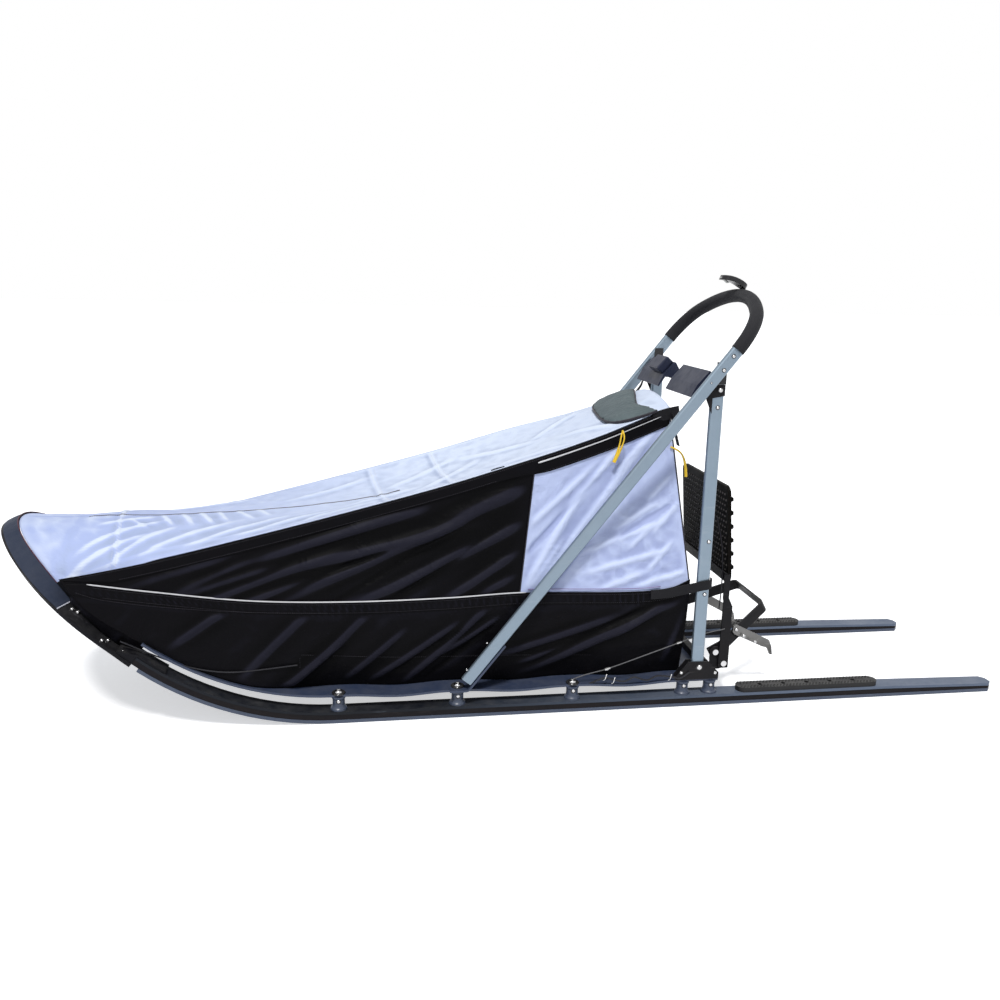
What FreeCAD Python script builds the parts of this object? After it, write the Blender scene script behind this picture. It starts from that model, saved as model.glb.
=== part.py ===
import FreeCAD, Part
import math
import os
from FreeCAD import Vector

# Dog sled with a fabric cargo bag, millimetres, +X forward, +Y the sled's left, +Z up.
# The origin is the middle of the sled on the ground, the runners lie on z = 0.

os.makedirs("parts", exist_ok=True)

# Runners
runner_gauge = 470.0
runner_width = 49.0
tail_x = -1329.0
shoe_thick = 9.0
rail_thick = 14.0
rail_inset = 1.0
deck_thick = 7.0
runner_bend_x = 500.0
runner_bend_radius = 760.0
runner_bend_deg = 39.5
shoe_end_deg = 38.0
tail_taper_x = -1000.0
tail_taper = 6.0
tail_chamfer = 14.0
cut_over = 1.0

# Foot pads
pad_front_x = -574.0
pad_length = 409.0
pad_width = 43.0
pad_thick = 13.0
pad_hole_pitch = 68.0
pad_hole_radius = 6.0
pad_hole_margin = 20.0

# Risers between the runners and the bed
riser_xs = [489.0, 186.0, -118.0, -421.0, -496.0]
riser_height = 35.0
riser_base_radius = 21.5
riser_neck_radius = 15.5
riser_top_radius = 18.0
riser_foot_high = 4.0
riser_flare_high = 17.0
riser_head_high = 8.0

# Bed sheet and its cross bars
bed_rear_x = -516.0
bed_thick = 6.0
bed_sag = 7.0
bed_flat_margin = 4.0
bed_wave_span = 150.0
bed_bend_x = 505.0
bed_bend_deg = 38.5
bar_width = 32.0
bar_thick = 6.0

# Bow hoop, a plastic strip that leaves the runners and turns round the nose
bow_plane_deg = 41.1
bow_width = 43.0
bow_thick = 9.0
bow_edge_half = 260.0
bow_straight = 95.0
bow_side_radius = 383.0
bow_side_deg = 57.7
bow_turn_deg = 65.0
bow_twist_delay = 10.0
bow_twist_share = 0.97
sleeve_thick = 2.5
sleeve_start = 217.0
clamp_thick = 6.0
clamp_back_deg = 33.5
clamp_forward = 46.0
clamp_inset = 2.0
clamp_lip = 5.0
clamp_step = 0.5
sleeve_gap = 0.2
sleeve_edge = 2.0
sleeve_over = 1.5

# Struts that run up to the handle, and uprights
strut_deg = 52.0
strut_foot_x = 166.0
strut_foot_z = 98.0
strut_deep = 32.0
strut_wide = 16.0
strut_wall = 2.0
strut_y = 257.0
strut_over = 60.1
foot_strap_width = 36.0
foot_strap_thick = 5.0
foot_strap_run = 150.0
foot_strap_flat = 46.0
foot_strap_bend = 14.0
upright_offset = 1.5
upright_deep = 34.0
upright_wide = 16.0
upright_wall = 2.0
upright_drop = 37.4
side_gap = 3.0
tube_round = 0.82
fit_gap = 0.2
bracket_plate = 3.0
bracket_length = 118.0
bracket_top_length = 56.0
bracket_height = 50.0
bracket_front_high = 10.0
bracket_rear_high = 18.0
bracket_offset = 2.0
top_plate_rear = 28.0
top_plate_middle = 34.0
top_plate_low = 72.0
top_plate_front = 36.0
top_plate_reach = 14.0
top_plate_shoulder = 6.0

# Handle hoop and grip
handle_tube_radius = 13.0
handle_tube_wall = 2.0
grip_radius = 18.0
handle_corner_radius = 130.0
handle_corner_deg = 60.0
handle_lead = 2.0
badge_length = 76.0
badge_width = 46.0
badge_thick = 13.0
badge_corner = 19.0
badge_radius = 105.0
badge_rise_deg = 21.0
plate_seat = 0.3

# Cargo bag
fabric = 2.5
bag_foot_half = 185.0
bag_belly_line = [(1136.0, 233.0), (1040.0, 238.0), (800.0, 240.0), (12.0, 240.0), (-200.0, 236.0),
                  (-426.0, 228.0)]
bag_top_line = [(1136.0, 388.0), (924.0, 428.0), (692.0, 483.0), (454.0, 543.0), (210.0, 608.0),
                (12.0, 667.0), (-171.0, 720.0), (-281.0, 758.0), (-363.0, 788.0)]
bag_top_half = [(1136.0, 228.0), (1040.0, 234.0), (12.0, 233.0), (-171.0, 202.0), (-281.0, 178.0),
                (-363.0, 164.0)]
pipe_line = [(1080.0, 378.0), (928.0, 355.0), (697.0, 325.0), (457.0, 315.0), (208.0, 318.0),
             (22.0, 326.0), (-290.0, 317.5), (-380.0, 326.0), (-425.0, 345.0)]
crown_line = [(1136.0, 84.0), (1040.0, 76.0), (840.0, 40.0), (700.0, 12.0), (580.0, -8.0), (455.0, -26.0),
              (300.0, -38.0), (100.0, -34.0), (-50.0, -16.0), (-200.0, 10.0), (-363.0, 24.0)]
window_front_low_x = 30.0
window_front_top_x = -4.0
bag_rear_x = -426.0
pocket_lap = 14.0
hem_height = 30.0
hem_thick = 2.5
hem_margin = 6.0
hem_grow = 130.0
rear_tuck = 8.0
rear_inset = 2.0
rear_side_gap = 1.0
flap_thick = 14.0
seam_gap = 0.6
foot_gap = 0.9
foot_spread_run = 220.0
foot_edge_margin = 8.0
foot_end_deg = 0.6
clamp_gap = 0.7
cover_tuck = 60.0
cover_front_share = 0.12
cover_inside = 3.0
cover_drop = 2.0
front_tuck = 8.0
front_back = 4.0
front_bulge = 30.0
bulge_fade = 8
wing_thick = 1.5
wing_gap = 0.5
wing_start = 60.0
wing_low = 0.06
wing_high = 0.8
wing_seat = 0.7
wing_inset = 2.5

# Top fittings
dash_bar_width = 26.0
dash_bar_thick = 5.0
dash_drop = 16.0
dash_plate_inner = 34.0
dash_fold = [(65.0, -22.0), (49.0, 8.0), (18.0, 43.0), (14.0, 40.0), (-7.0, 3.0), (-7.0, 0.0), (13.0, 0.0),
             (44.0, 2.0), (61.0, -24.0)]
dash_block_size = [44.0, 86.0, 24.0]
dash_block_round = 4.0
dash_block_side = 12.0
dash_block_rise = 2.0
strap_width = 26.0
strap_thick = 2.8
strap_back = 5.0
strap_height = 55.0

# Brake and drag mat at the rear
rear_bar_size = 20.0
hinge_plate_y = 182.0
hinge_plate_thick = 5.0
hinge_eye = 14.0
hinge_shoulder = 9.0
moving_gap = 3.0
brake_pin_x = -527.0
brake_pin_z = 122.0
mat_pin_x = -550.0
mat_pin_z = 91.0
pin_radius = 4.0
pin_fit = 0.3
pin_head_radius = 8.0
pin_head_high = 6.0
pin_nut_high = 4.0
brake_bar_deep = 30.0
brake_bar_thick = 5.0
brake_length = 202.0
brake_rear_half = 97.0
brake_rise_deg = 29.0
brake_corner = 22.0
brake_leg_straight = 30.0
brake_eye = 15.0
claw_thick = 5.0
claw_run = 76.0
claw_rise = 19.6
claw_side = 5.5
claw_in_deg = 13.2
claw_profile = [(0.0, 10.0), (8.0, 14.0), (112.0, -40.0), (124.0, -46.0), (134.0, -66.0), (139.0, -92.0),
                (131.0, -90.0), (122.0, -72.0), (112.0, -66.0), (100.0, -62.0), (4.0, -14.0), (-2.0, -6.0)]
mat_half_width = 175.0
mat_low_z = 314.0
mat_height = 267.0
mat_thick = 10.0
mat_offset = -2.0
mat_corner = 22.0
mat_lean_deg = 4.7
lug_rows = 6
lug_pitch = 38.0
lug_height = 12.0
lug_base = 16.0
lug_tip = 9.0
lug_length = 74.0
lug_columns = 4
lug_margin = 10.0
lug_root = 0.5
arm_wide = 28.0
arm_narrow = 16.0
arm_thick = 5.0
mat_bar_width = 24.0
mat_bar_thick = 4.0
arm_lap = 30.0
arm_bend_low = 60.0
flap_seat = 0.8

# Values that follow from the sizes above
runner_y = runner_gauge / 2
runner_high = shoe_thick + rail_thick + deck_thick
bed_z = runner_high + riser_height
bed_bend_radius = runner_bend_radius - riser_height
bed_top_z = bed_z + bed_thick
upright_y = strut_y - strut_wide / 2 - side_gap - upright_wide / 2
bed_half_width = upright_y + upright_wide / 2
mat_front_x = mat_pin_x + mat_offset
strut_dir = Vector(-math.cos(math.radians(strut_deg)), 0, math.sin(math.radians(strut_deg)))
strut_normal = Vector(strut_dir.z, 0, -strut_dir.x)
upright_x = (riser_xs[-2] + riser_xs[-1]) / 2 + upright_offset
strut_to_upright = (upright_x - strut_foot_x) / strut_dir.x
strut_length = strut_to_upright + strut_over
upright_top_z = strut_foot_z + strut_to_upright * strut_dir.z - upright_drop
dash_bar_z = upright_top_z - dash_drop
parts = {}


def add(name, shapes):
    """Keep one node, given as a solid or a list of solids of the same piece."""
    if not isinstance(shapes, (list, tuple)):
        shapes = [shapes]
    parts[name] = shapes


def mirrored(shape):
    return shape.mirror(Vector(0, 0, 0), Vector(0, 1, 0))


def add_pair(name, shapes):
    """The left piece as given and the right one mirrored."""
    if not isinstance(shapes, (list, tuple)):
        shapes = [shapes]
    add(name + "_left", shapes)
    add(name + "_right", [mirrored(s) for s in shapes])


def add_both(name, shapes):
    """Both sides' pieces in one node."""
    if not isinstance(shapes, (list, tuple)):
        shapes = [shapes]
    add(name, list(shapes) + [mirrored(s) for s in shapes])


def box(x0, x1, y0, y1, z0, z1):
    return Part.makeBox(x1 - x0, y1 - y0, z1 - z0, Vector(x0, y0, z0))


def side_prism(points, y0, y1):
    """A closed outline in the side view, given as (x, z), drawn out from y0 to y1."""
    wire = Part.makePolygon([Vector(x, y0, z) for x, z in points + points[:1]])
    return Part.Face(wire).extrude(Vector(0, y1 - y0, 0))


def cylinder_y(radius, x, y0, y1, z):
    """Round bar across the sled from y0 to y1."""
    return Part.makeCylinder(radius, y1 - y0, Vector(x, y0, z), Vector(0, 1, 0))


def lerp(table, x):
    """Straight interpolation in a table that runs from high x to low x."""
    if x >= table[0][0]:
        return table[0][1]
    for (xa, va), (xb, vb) in zip(table, table[1:]):
        if x >= xb:
            return vb + (va - vb) * (x - xb) / (xa - xb)
    return table[-1][1]


def smooth(table, x):
    """Cubic interpolation in the same kind of table, with slopes taken from the neighbours."""
    x = min(max(x, table[-1][0]), table[0][0])
    for i in range(len(table) - 1):
        (xa, va), (xb, vb) = table[i], table[i + 1]
        if x >= xb:
            before = table[max(i - 1, 0)]
            after = table[min(i + 2, len(table) - 1)]
            slope_a = (before[1] - vb) / (before[0] - xb)
            slope_b = (va - after[1]) / (xa - after[0])
            step = xb - xa
            t = (x - xa) / step
            return ((2 * t ** 3 - 3 * t ** 2 + 1) * va + (t ** 3 - 2 * t ** 2 + t) * step * slope_a
                    + (3 * t ** 2 - 2 * t ** 3) * vb + (t ** 3 - t ** 2) * step * slope_b)
    return table[-1][1]


# Strips that run flat along the ground and turn up at the front on a round arc
def bend_point(bend_x, base_z, radius, deg, height):
    a = math.radians(deg)
    reach = radius - height
    return Vector(bend_x + reach * math.sin(a), 0, base_z + radius - reach * math.cos(a))


def bent_strip(x_rear, bend_x, base_z, radius, deg, low, high, half_width, centre_y, taper_x=None,
               low_drop=0.0, high_drop=0.0):
    def arc(height):
        return Part.Arc(bend_point(bend_x, base_z, radius, 0, height),
                        bend_point(bend_x, base_z, radius, deg / 2, height),
                        bend_point(bend_x, base_z, radius, deg, height)).toShape()
    low_start = Vector(bend_x, 0, base_z + low)
    high_start = Vector(bend_x, 0, base_z + high)
    low_rear = Vector(x_rear, 0, base_z + low - low_drop)
    high_rear = Vector(x_rear, 0, base_z + high - high_drop)
    edges = []
    if low_drop:
        knee = Vector(taper_x, 0, base_z + low)
        edges += [Part.makeLine(low_rear, knee), Part.makeLine(knee, low_start)]
    else:
        edges.append(Part.makeLine(low_rear, low_start))
    edges.append(arc(low))
    edges.append(Part.makeLine(bend_point(bend_x, base_z, radius, deg, low),
                               bend_point(bend_x, base_z, radius, deg, high)))
    edges.append(arc(high))
    if high_drop:
        knee = Vector(taper_x, 0, base_z + high)
        edges += [Part.makeLine(high_start, knee), Part.makeLine(knee, high_rear)]
    else:
        edges.append(Part.makeLine(high_start, high_rear))
    edges.append(Part.makeLine(high_rear, low_rear))
    face = Part.Face(Part.Wire(Part.__sortEdges__(edges)))
    face.translate(Vector(0, centre_y - half_width, 0))
    return face.extrude(Vector(0, 2 * half_width, 0))


# Runners: plastic shoe, aluminium rail and the grooved deck strip on top
def tail_cut(solid):
    side = runner_y + runner_width / 2
    corner = [Vector(tail_x - cut_over, runner_y + runner_width, -cut_over),
              Vector(tail_x - cut_over, side - tail_chamfer, -cut_over),
              Vector(tail_x + tail_chamfer, side + cut_over, -cut_over)]
    tool = Part.Face(Part.makePolygon(corner + corner[:1])).extrude(Vector(0, 0, runner_high + 2 * cut_over))
    other = tool.mirror(Vector(0, runner_y, 0), Vector(0, 1, 0))
    return solid.cut(tool).cut(other)


half = runner_width / 2
shoe = bent_strip(tail_x, runner_bend_x, 0, runner_bend_radius, shoe_end_deg, 0, shoe_thick, half, runner_y)
rail = bent_strip(tail_x, runner_bend_x, 0, runner_bend_radius, runner_bend_deg, shoe_thick,
                  shoe_thick + rail_thick, half - rail_inset, runner_y, tail_taper_x, 0, tail_taper)
deck = bent_strip(tail_x, runner_bend_x, 0, runner_bend_radius, runner_bend_deg, shoe_thick + rail_thick,
                  runner_high, half, runner_y, tail_taper_x, tail_taper, tail_taper)
add_pair("runner_shoe", tail_cut(shoe))
add_pair("runner_rail", tail_cut(rail))
add_pair("runner_deck", tail_cut(deck))


# Foot pads with round ends and a row of drain holes
def slot_plate(x0, x1, centre_y, width, z0, thick):
    r = width / 2
    rear_low = Vector(x0 + r, centre_y - r, z0)
    rear_high = Vector(x0 + r, centre_y + r, z0)
    front_low_corner = Vector(x1 - r, centre_y - r, z0)
    front_high_corner = Vector(x1 - r, centre_y + r, z0)
    edges = [Part.makeLine(rear_low, front_low_corner),
             Part.Arc(front_low_corner, Vector(x1, centre_y, z0), front_high_corner).toShape(),
             Part.makeLine(front_high_corner, rear_high),
             Part.Arc(rear_high, Vector(x0, centre_y, z0), rear_low).toShape()]
    return Part.Face(Part.Wire(edges)).extrude(Vector(0, 0, thick))


pad = slot_plate(pad_front_x - pad_length, pad_front_x, runner_y, pad_width, runner_high, pad_thick)
hole_count = int((pad_length - 2 * pad_hole_margin) // pad_hole_pitch)
hole_depth = pad_thick / 2
for k in range(hole_count):
    x = pad_front_x - pad_length / 2 + (k - (hole_count - 1) / 2) * pad_hole_pitch
    hole_low = Vector(x, runner_y, runner_high + hole_depth)
    pad = pad.cut(Part.makeCylinder(pad_hole_radius, hole_depth + cut_over, hole_low))
add_both("foot_pads", pad)


# Risers, turned spools with a flared foot
def riser(x, y):
    z0 = runner_high
    z1 = runner_high + riser_height
    swell = riser_base_radius - riser_neck_radius
    foot_edge = Vector(riser_base_radius - 0.16 * swell, 0, z0 + riser_foot_high)
    flare_mid = Vector(riser_neck_radius + 0.2 * swell, 0, z0 + 0.6 * riser_foot_high + 0.4 * riser_flare_high)
    flare_top = Vector(riser_neck_radius, 0, z0 + riser_flare_high)
    outline = [Vector(riser_neck_radius, 0, z1 - riser_head_high),
               Vector(riser_top_radius, 0, z1 - riser_head_high / 2), Vector(riser_top_radius, 0, z1),
               Vector(0, 0, z1), Vector(0, 0, z0), Vector(riser_base_radius, 0, z0)]
    line_points = [flare_top] + outline + [foot_edge]
    edges = [Part.makeLine(a, b) for a, b in zip(line_points, line_points[1:])]
    edges.append(Part.Arc(foot_edge, flare_mid, flare_top).toShape())
    solid = Part.Face(Part.Wire(edges)).revolve(Vector(0, 0, 0), Vector(0, 0, 1), 360)
    solid.translate(Vector(x, y, 0))
    return solid


add_both("risers", [riser(x, runner_y) for x in riser_xs])


# Bed sheet, wavy between the risers and turned up at the front
bed_inset = riser_top_radius + bed_flat_margin


def bed_low(x):
    """Underside of the bed sheet above the ground at x, flat over each riser and sagging between them."""
    for front, rear in zip(riser_xs, riser_xs[1:]):
        if front >= x >= rear and front - rear > bed_wave_span:
            t = (front - bed_inset - x) / (front - rear - 2 * bed_inset)
            return bed_z - bed_sag * math.sin(math.pi * min(max(t, 0), 1)) ** 2
    return bed_z


def bed_edges(height, x_rear):
    """One face of the bed sheet in the side view, from its bend to its rear end."""
    edges = []
    x = bed_bend_x
    for front, rear in zip(riser_xs, riser_xs[1:]):
        if front - rear > bed_wave_span:
            first = front - bed_inset
            last = rear + bed_inset
            edges.append(Part.makeLine(Vector(x, 0, bed_z + height), Vector(first, 0, bed_z + height)))
            stations = [first + (last - first) * k / 6 for k in range(7)]
            wave = Part.BSplineCurve()
            wave.interpolate([Vector(s, 0, bed_low(s) + height) for s in stations],
                             InitialTangent=Vector(-1, 0, 0), FinalTangent=Vector(-1, 0, 0))
            edges.append(wave.toShape())
            x = last
    edges.append(Part.makeLine(Vector(x, 0, bed_z + height), Vector(x_rear, 0, bed_z + height)))
    return edges


def bed_arc(height):
    return Part.Arc(Vector(bed_bend_x, 0, bed_z + height),
                    bend_point(bed_bend_x, bed_z, bed_bend_radius, bed_bend_deg / 2, height),
                    bend_point(bed_bend_x, bed_z, bed_bend_radius, bed_bend_deg, height)).toShape()


def bed_profile(low, high, x_rear):
    ends = [Part.makeLine(bend_point(bed_bend_x, bed_z, bed_bend_radius, bed_bend_deg, low),
                          bend_point(bed_bend_x, bed_z, bed_bend_radius, bed_bend_deg, high)),
            Part.makeLine(Vector(x_rear, 0, bed_z + low), Vector(x_rear, 0, bed_z + high))]
    edges = [bed_arc(low), bed_arc(high)] + bed_edges(low, x_rear) + bed_edges(high, x_rear) + ends
    return Part.Face(Part.Wire(Part.__sortEdges__(edges)))


bed_face = bed_profile(0, bed_thick, bed_rear_x)
bed_face.translate(Vector(0, -bed_half_width, 0))
add("bed_sheet", bed_face.extrude(Vector(0, 2 * bed_half_width, 0)))

bar_half = runner_y - riser_top_radius - seam_gap
bars = []
for x in riser_xs:
    bars.append(box(x - bar_width / 2, x + bar_width / 2, -bar_half, bar_half, bed_z - bar_thick, bed_z))
add("cross_bars", bars)

# Bow hoop: its lower edge lies in a sloping plane, the strip twists as it leaves the runners
bow_slope = math.radians(bow_plane_deg)
bow_up = Vector(-math.sin(bow_slope), 0, math.cos(bow_slope))
bow_along = Vector(math.cos(bow_slope), 0, math.sin(bow_slope))
bow_foot = bend_point(runner_bend_x, 0, runner_bend_radius, runner_bend_deg, 0)
bow_side_arc = math.radians(bow_side_deg)
bow_nose_radius = bow_side_radius + (bow_edge_half - bow_side_radius) / math.cos(bow_side_arc)
bow_nose_arc = math.pi / 2 - bow_side_arc
bow_lengths = [bow_straight, bow_side_radius * bow_side_arc, bow_nose_radius * bow_nose_arc]
bow_total = sum(bow_lengths)


def bow_edge(s):
    """Lower edge of the hoop at run s from the left runner's end, with its inward direction."""
    if s <= bow_lengths[0]:
        return bow_foot + bow_along * s + Vector(0, bow_edge_half, 0), Vector(0, -1, 0)
    s -= bow_lengths[0]
    if s <= bow_lengths[1]:
        a = s / bow_side_radius
        u = bow_straight + bow_side_radius * math.sin(a)
        y = bow_edge_half - bow_side_radius * (1 - math.cos(a))
    else:
        a = bow_side_arc + (s - bow_lengths[1]) / bow_nose_radius
        u = (bow_straight + bow_side_radius * math.sin(bow_side_arc)
             + bow_nose_radius * (math.sin(a) - math.sin(bow_side_arc)))
        y = bow_nose_radius * math.cos(a)
    return bow_foot + bow_along * u + Vector(0, y, 0), bow_along * -math.sin(a) + Vector(0, -math.cos(a), 0)


def bow_frame(s):
    """Corner, width direction and face direction of the strip at run s."""
    edge, inward = bow_edge(s)
    twist_start = clamp_forward + bow_twist_delay
    twist_end = bow_lengths[0] + bow_twist_share * bow_lengths[1]
    t = min(max((s - twist_start) / (twist_end - twist_start), 0), 1)
    turn = math.radians(bow_turn_deg) * (3 * t ** 2 - 2 * t ** 3)
    across = inward * math.cos(turn) + bow_up * math.sin(turn)
    out = bow_up * math.cos(turn) - inward * math.sin(turn)
    width = runner_width + (bow_width - runner_width) * t
    return edge, across, out, width


def bow_strip(runs, low, high, trim_low, trim_high):
    """Solid through sections at the runs, between two heights over the strip's underside."""
    sections = []
    for s in runs:
        edge, across, out, width = bow_frame(min(s, 2 * bow_total - s))
        corners = [edge + across * trim_low + out * low, edge + across * (width - trim_high) + out * low,
                   edge + across * (width - trim_high) + out * high, edge + across * trim_low + out * high]
        if s > bow_total:
            corners = [Vector(c.x, -c.y, c.z) for c in corners]
        sections.append(Part.makePolygon(corners + corners[:1]))
    return Part.makeLoft(sections, True, False)


def spread(first, last, count):
    return [first + (last - first) * k / (count - 1) for k in range(count)]


# The sleeve shares the hoop's stations, so that it lies on it
leg_runs = spread(clamp_step, sleeve_start, 7)
sleeve_runs = spread(sleeve_start, 2 * bow_total - sleeve_start, 29)
hoop_runs = leg_runs[:-1] + sleeve_runs + [2 * bow_total - s for s in leg_runs[-2::-1]]
add("bow_hoop", bow_strip(hoop_runs, 0, bow_thick, 0, 0))
add("bow_sleeve", bow_strip(sleeve_runs, bow_thick + sleeve_gap, bow_thick + sleeve_thick, sleeve_edge,
                            -sleeve_over))

# Clamp blocks that hold the hoop to the runner ends, stepped over the end of the runner
clamp_back = bend_point(runner_bend_x, 0, runner_bend_radius, clamp_back_deg, runner_high)
clamp_back_top = bend_point(runner_bend_x, 0, runner_bend_radius, clamp_back_deg, runner_high + clamp_thick)
clamp_mid_deg = (clamp_back_deg + runner_bend_deg) / 2
clamp_mid = bend_point(runner_bend_x, 0, runner_bend_radius, clamp_mid_deg, runner_high)
clamp_mid_top = bend_point(runner_bend_x, 0, runner_bend_radius, clamp_mid_deg, runner_high + clamp_thick)
clamp_front = bend_point(runner_bend_x, 0, runner_bend_radius, runner_bend_deg, runner_high)
clamp_front_top = bend_point(runner_bend_x, 0, runner_bend_radius, runner_bend_deg, runner_high + clamp_thick)
step = bow_along * clamp_step
clamp_low = bow_foot + step + bow_up * (bow_thick + clamp_gap)
clamp_tip = bow_foot + bow_along * clamp_forward + bow_up * (bow_thick + clamp_gap)
clamp_edges = [Part.Arc(clamp_back, clamp_mid, clamp_front).toShape(),
               Part.makeLine(clamp_front, clamp_front + step), Part.makeLine(clamp_front + step, clamp_low),
               Part.makeLine(clamp_low, clamp_tip), Part.makeLine(clamp_tip, clamp_tip + bow_up * clamp_lip),
               Part.makeLine(clamp_tip + bow_up * clamp_lip, clamp_front_top),
               Part.Arc(clamp_front_top, clamp_mid_top, clamp_back_top).toShape(),
               Part.makeLine(clamp_back_top, clamp_back)]
clamp_face = Part.Face(Part.Wire(clamp_edges))
clamp_face.translate(Vector(0, runner_y - runner_width / 2 + clamp_inset, 0))
add_both("bow_clamps", clamp_face.extrude(Vector(0, runner_width - 2 * clamp_inset, 0)))


# Flat-oval tubes for the struts and uprights
def oval_tube(origin, direction, deep_dir, deep, wide, wall, length):
    """Tube with rounded narrow sides. deep_dir is the long side of the section, wide runs along Y."""
    def outline(d, w):
        r = w / 2 * tube_round
        section = Part.makePlane(d, w, Vector(-d / 2, -w / 2, 0))
        block = section.extrude(Vector(0, 0, length))
        long_edges = [e for e in block.Edges if abs(e.Vertexes[0].Z - e.Vertexes[1].Z) > length / 2]
        return block.makeFillet(r, long_edges)
    tube = outline(deep, wide).cut(outline(deep - 2 * wall, wide - 2 * wall))
    y_dir = direction.cross(deep_dir)
    tube.Placement = FreeCAD.Placement(origin, FreeCAD.Rotation(deep_dir, y_dir, direction, "ZXY"))
    return tube


strut_start = Vector(strut_foot_x, strut_y, strut_foot_z)
strut_end = strut_start + strut_dir * strut_length
add_pair("strut", oval_tube(strut_start, strut_dir, strut_normal, strut_deep, strut_wide, strut_wall,
                            strut_length))
upright_foot_z = bed_top_z + bracket_plate
add_pair("upright", oval_tube(Vector(upright_x, upright_y, upright_foot_z), Vector(0, 0, 1), Vector(1, 0, 0),
                              upright_deep, upright_wide, upright_wall, upright_top_z - upright_foot_z))

# Straps that hold the strut feet: flat on the bed over the second riser, then up under the strut
under = strut_start - strut_normal * (strut_deep / 2 + fit_gap)
flat_z = bed_top_z
reach = (flat_z + foot_strap_thick - under.z) / strut_dir.z
knee_in = under + strut_dir * reach
knee_out = knee_in - strut_normal * foot_strap_thick
reach_out = (flat_z - knee_out.z) / strut_dir.z
knee_out = knee_out + strut_dir * reach_out
strap_front = max(knee_in.x, knee_out.x) + foot_strap_flat
top_in = knee_in + strut_dir * foot_strap_run
top_out = top_in - strut_normal * foot_strap_thick
strap = side_prism([(strap_front, flat_z), (knee_out.x, flat_z), (top_out.x, top_out.z), (top_in.x, top_in.z),
                    (knee_in.x, flat_z + foot_strap_thick), (strap_front, flat_z + foot_strap_thick)],
                   strut_y + strut_wide / 2 - foot_strap_width, strut_y + strut_wide / 2)


def edges_at(solid, x, z):
    return [e for e in solid.Edges if all(abs(v.X - x) < 0.01 and abs(v.Z - z) < 0.01 for v in e.Vertexes)]


strap = strap.makeFillet(foot_strap_bend, edges_at(strap, knee_out.x, flat_z))
add_both("strut_foot_straps", strap)

# Folded saddle brackets at the feet of the uprights
bracket_centre = (riser_xs[-2] + riser_xs[-1]) / 2 + bracket_offset
base_half = bracket_length / 2
outer_y = upright_y + upright_wide / 2 + fit_gap
inner_y = upright_y - upright_wide / 2 - fit_gap
bracket_low = bed_top_z
base = box(bracket_centre - base_half, bracket_centre + base_half, inner_y - bracket_plate,
           outer_y + bracket_plate, bracket_low, bracket_low + bracket_plate)
cheek = [(bracket_centre - base_half, bracket_low), (bracket_centre + base_half, bracket_low),
         (bracket_centre + base_half, bracket_low + bracket_front_high),
         (upright_x + bracket_top_length / 2, bracket_low + bracket_height),
         (upright_x - bracket_top_length / 2, bracket_low + bracket_height),
         (bracket_centre - base_half, bracket_low + bracket_rear_high)]
foot = base.fuse([side_prism(cheek, outer_y, outer_y + bracket_plate),
                  side_prism(cheek, inner_y - bracket_plate, inner_y)]).removeSplitter()
add_both("upright_foot_brackets", foot)

# Brackets between the tops of the uprights and the struts
upright_rear = upright_x - upright_deep / 2
upright_front = upright_x + upright_deep / 2
top_plate = [(upright_rear, upright_top_z), (upright_rear, upright_top_z - top_plate_rear),
             (upright_front - upright_wall, upright_top_z - top_plate_middle),
             (upright_front - upright_wall, upright_top_z - top_plate_low),
             (upright_front + top_plate_reach, upright_top_z - top_plate_front),
             (upright_front + top_plate_shoulder, upright_top_z)]
plate_low_y = upright_y + upright_wide / 2 + fit_gap / 2
add_both("top_brackets", side_prism(top_plate, plate_low_y, plate_low_y + side_gap - fit_gap))

# Handle: a tube bent in the plane of the struts, with a foam grip over all of it
handle_half = strut_y


def handle_at(u, y):
    return Vector(strut_end.x, 0, strut_end.z) + strut_dir * u + Vector(0, y, 0)


handle_arc = math.radians(handle_corner_deg)
handle_top_radius = handle_corner_radius + (handle_half - handle_corner_radius) / math.cos(handle_arc)


def corner_at(a):
    return handle_at(handle_lead + handle_corner_radius * math.sin(a),
                     handle_half - handle_corner_radius * (1 - math.cos(a)))


def crown_at(a):
    u = (handle_lead + handle_corner_radius * math.sin(handle_arc)
         + handle_top_radius * (math.sin(a) - math.sin(handle_arc)))
    return handle_at(u, handle_top_radius * math.cos(a))


def flipped(p):
    return Vector(p.x, -p.y, p.z)


def handle_path():
    return Part.Wire([
        Part.makeLine(handle_at(0, handle_half), corner_at(0)),
        Part.Arc(corner_at(0), corner_at(handle_arc / 2), corner_at(handle_arc)).toShape(),
        Part.Arc(crown_at(handle_arc), crown_at(math.pi / 2), flipped(crown_at(handle_arc))).toShape(),
        Part.Arc(flipped(corner_at(handle_arc)), flipped(corner_at(handle_arc / 2)),
                 flipped(corner_at(0))).toShape(),
        Part.makeLine(flipped(corner_at(0)), handle_at(0, -handle_half))])


def swept_rod(path, start, direction, radius):
    ring = Part.Wire(Part.Circle(start, direction, radius).toShape())
    return path.makePipeShell([ring], True, False, 2)


path = handle_path()
handle_start = handle_at(0, handle_half)
tube_outer = swept_rod(path, handle_start, strut_dir, handle_tube_radius)
tube_inner = swept_rod(path, handle_start, strut_dir, handle_tube_radius - handle_tube_wall)
grip_outer = swept_rod(path, handle_start, strut_dir, grip_radius)
grip_inner = swept_rod(path, handle_start, strut_dir, handle_tube_radius + fit_gap)
add("handle_tube", tube_outer.cut(tube_inner))
add("handle_grip", grip_outer.cut(grip_inner))

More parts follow.
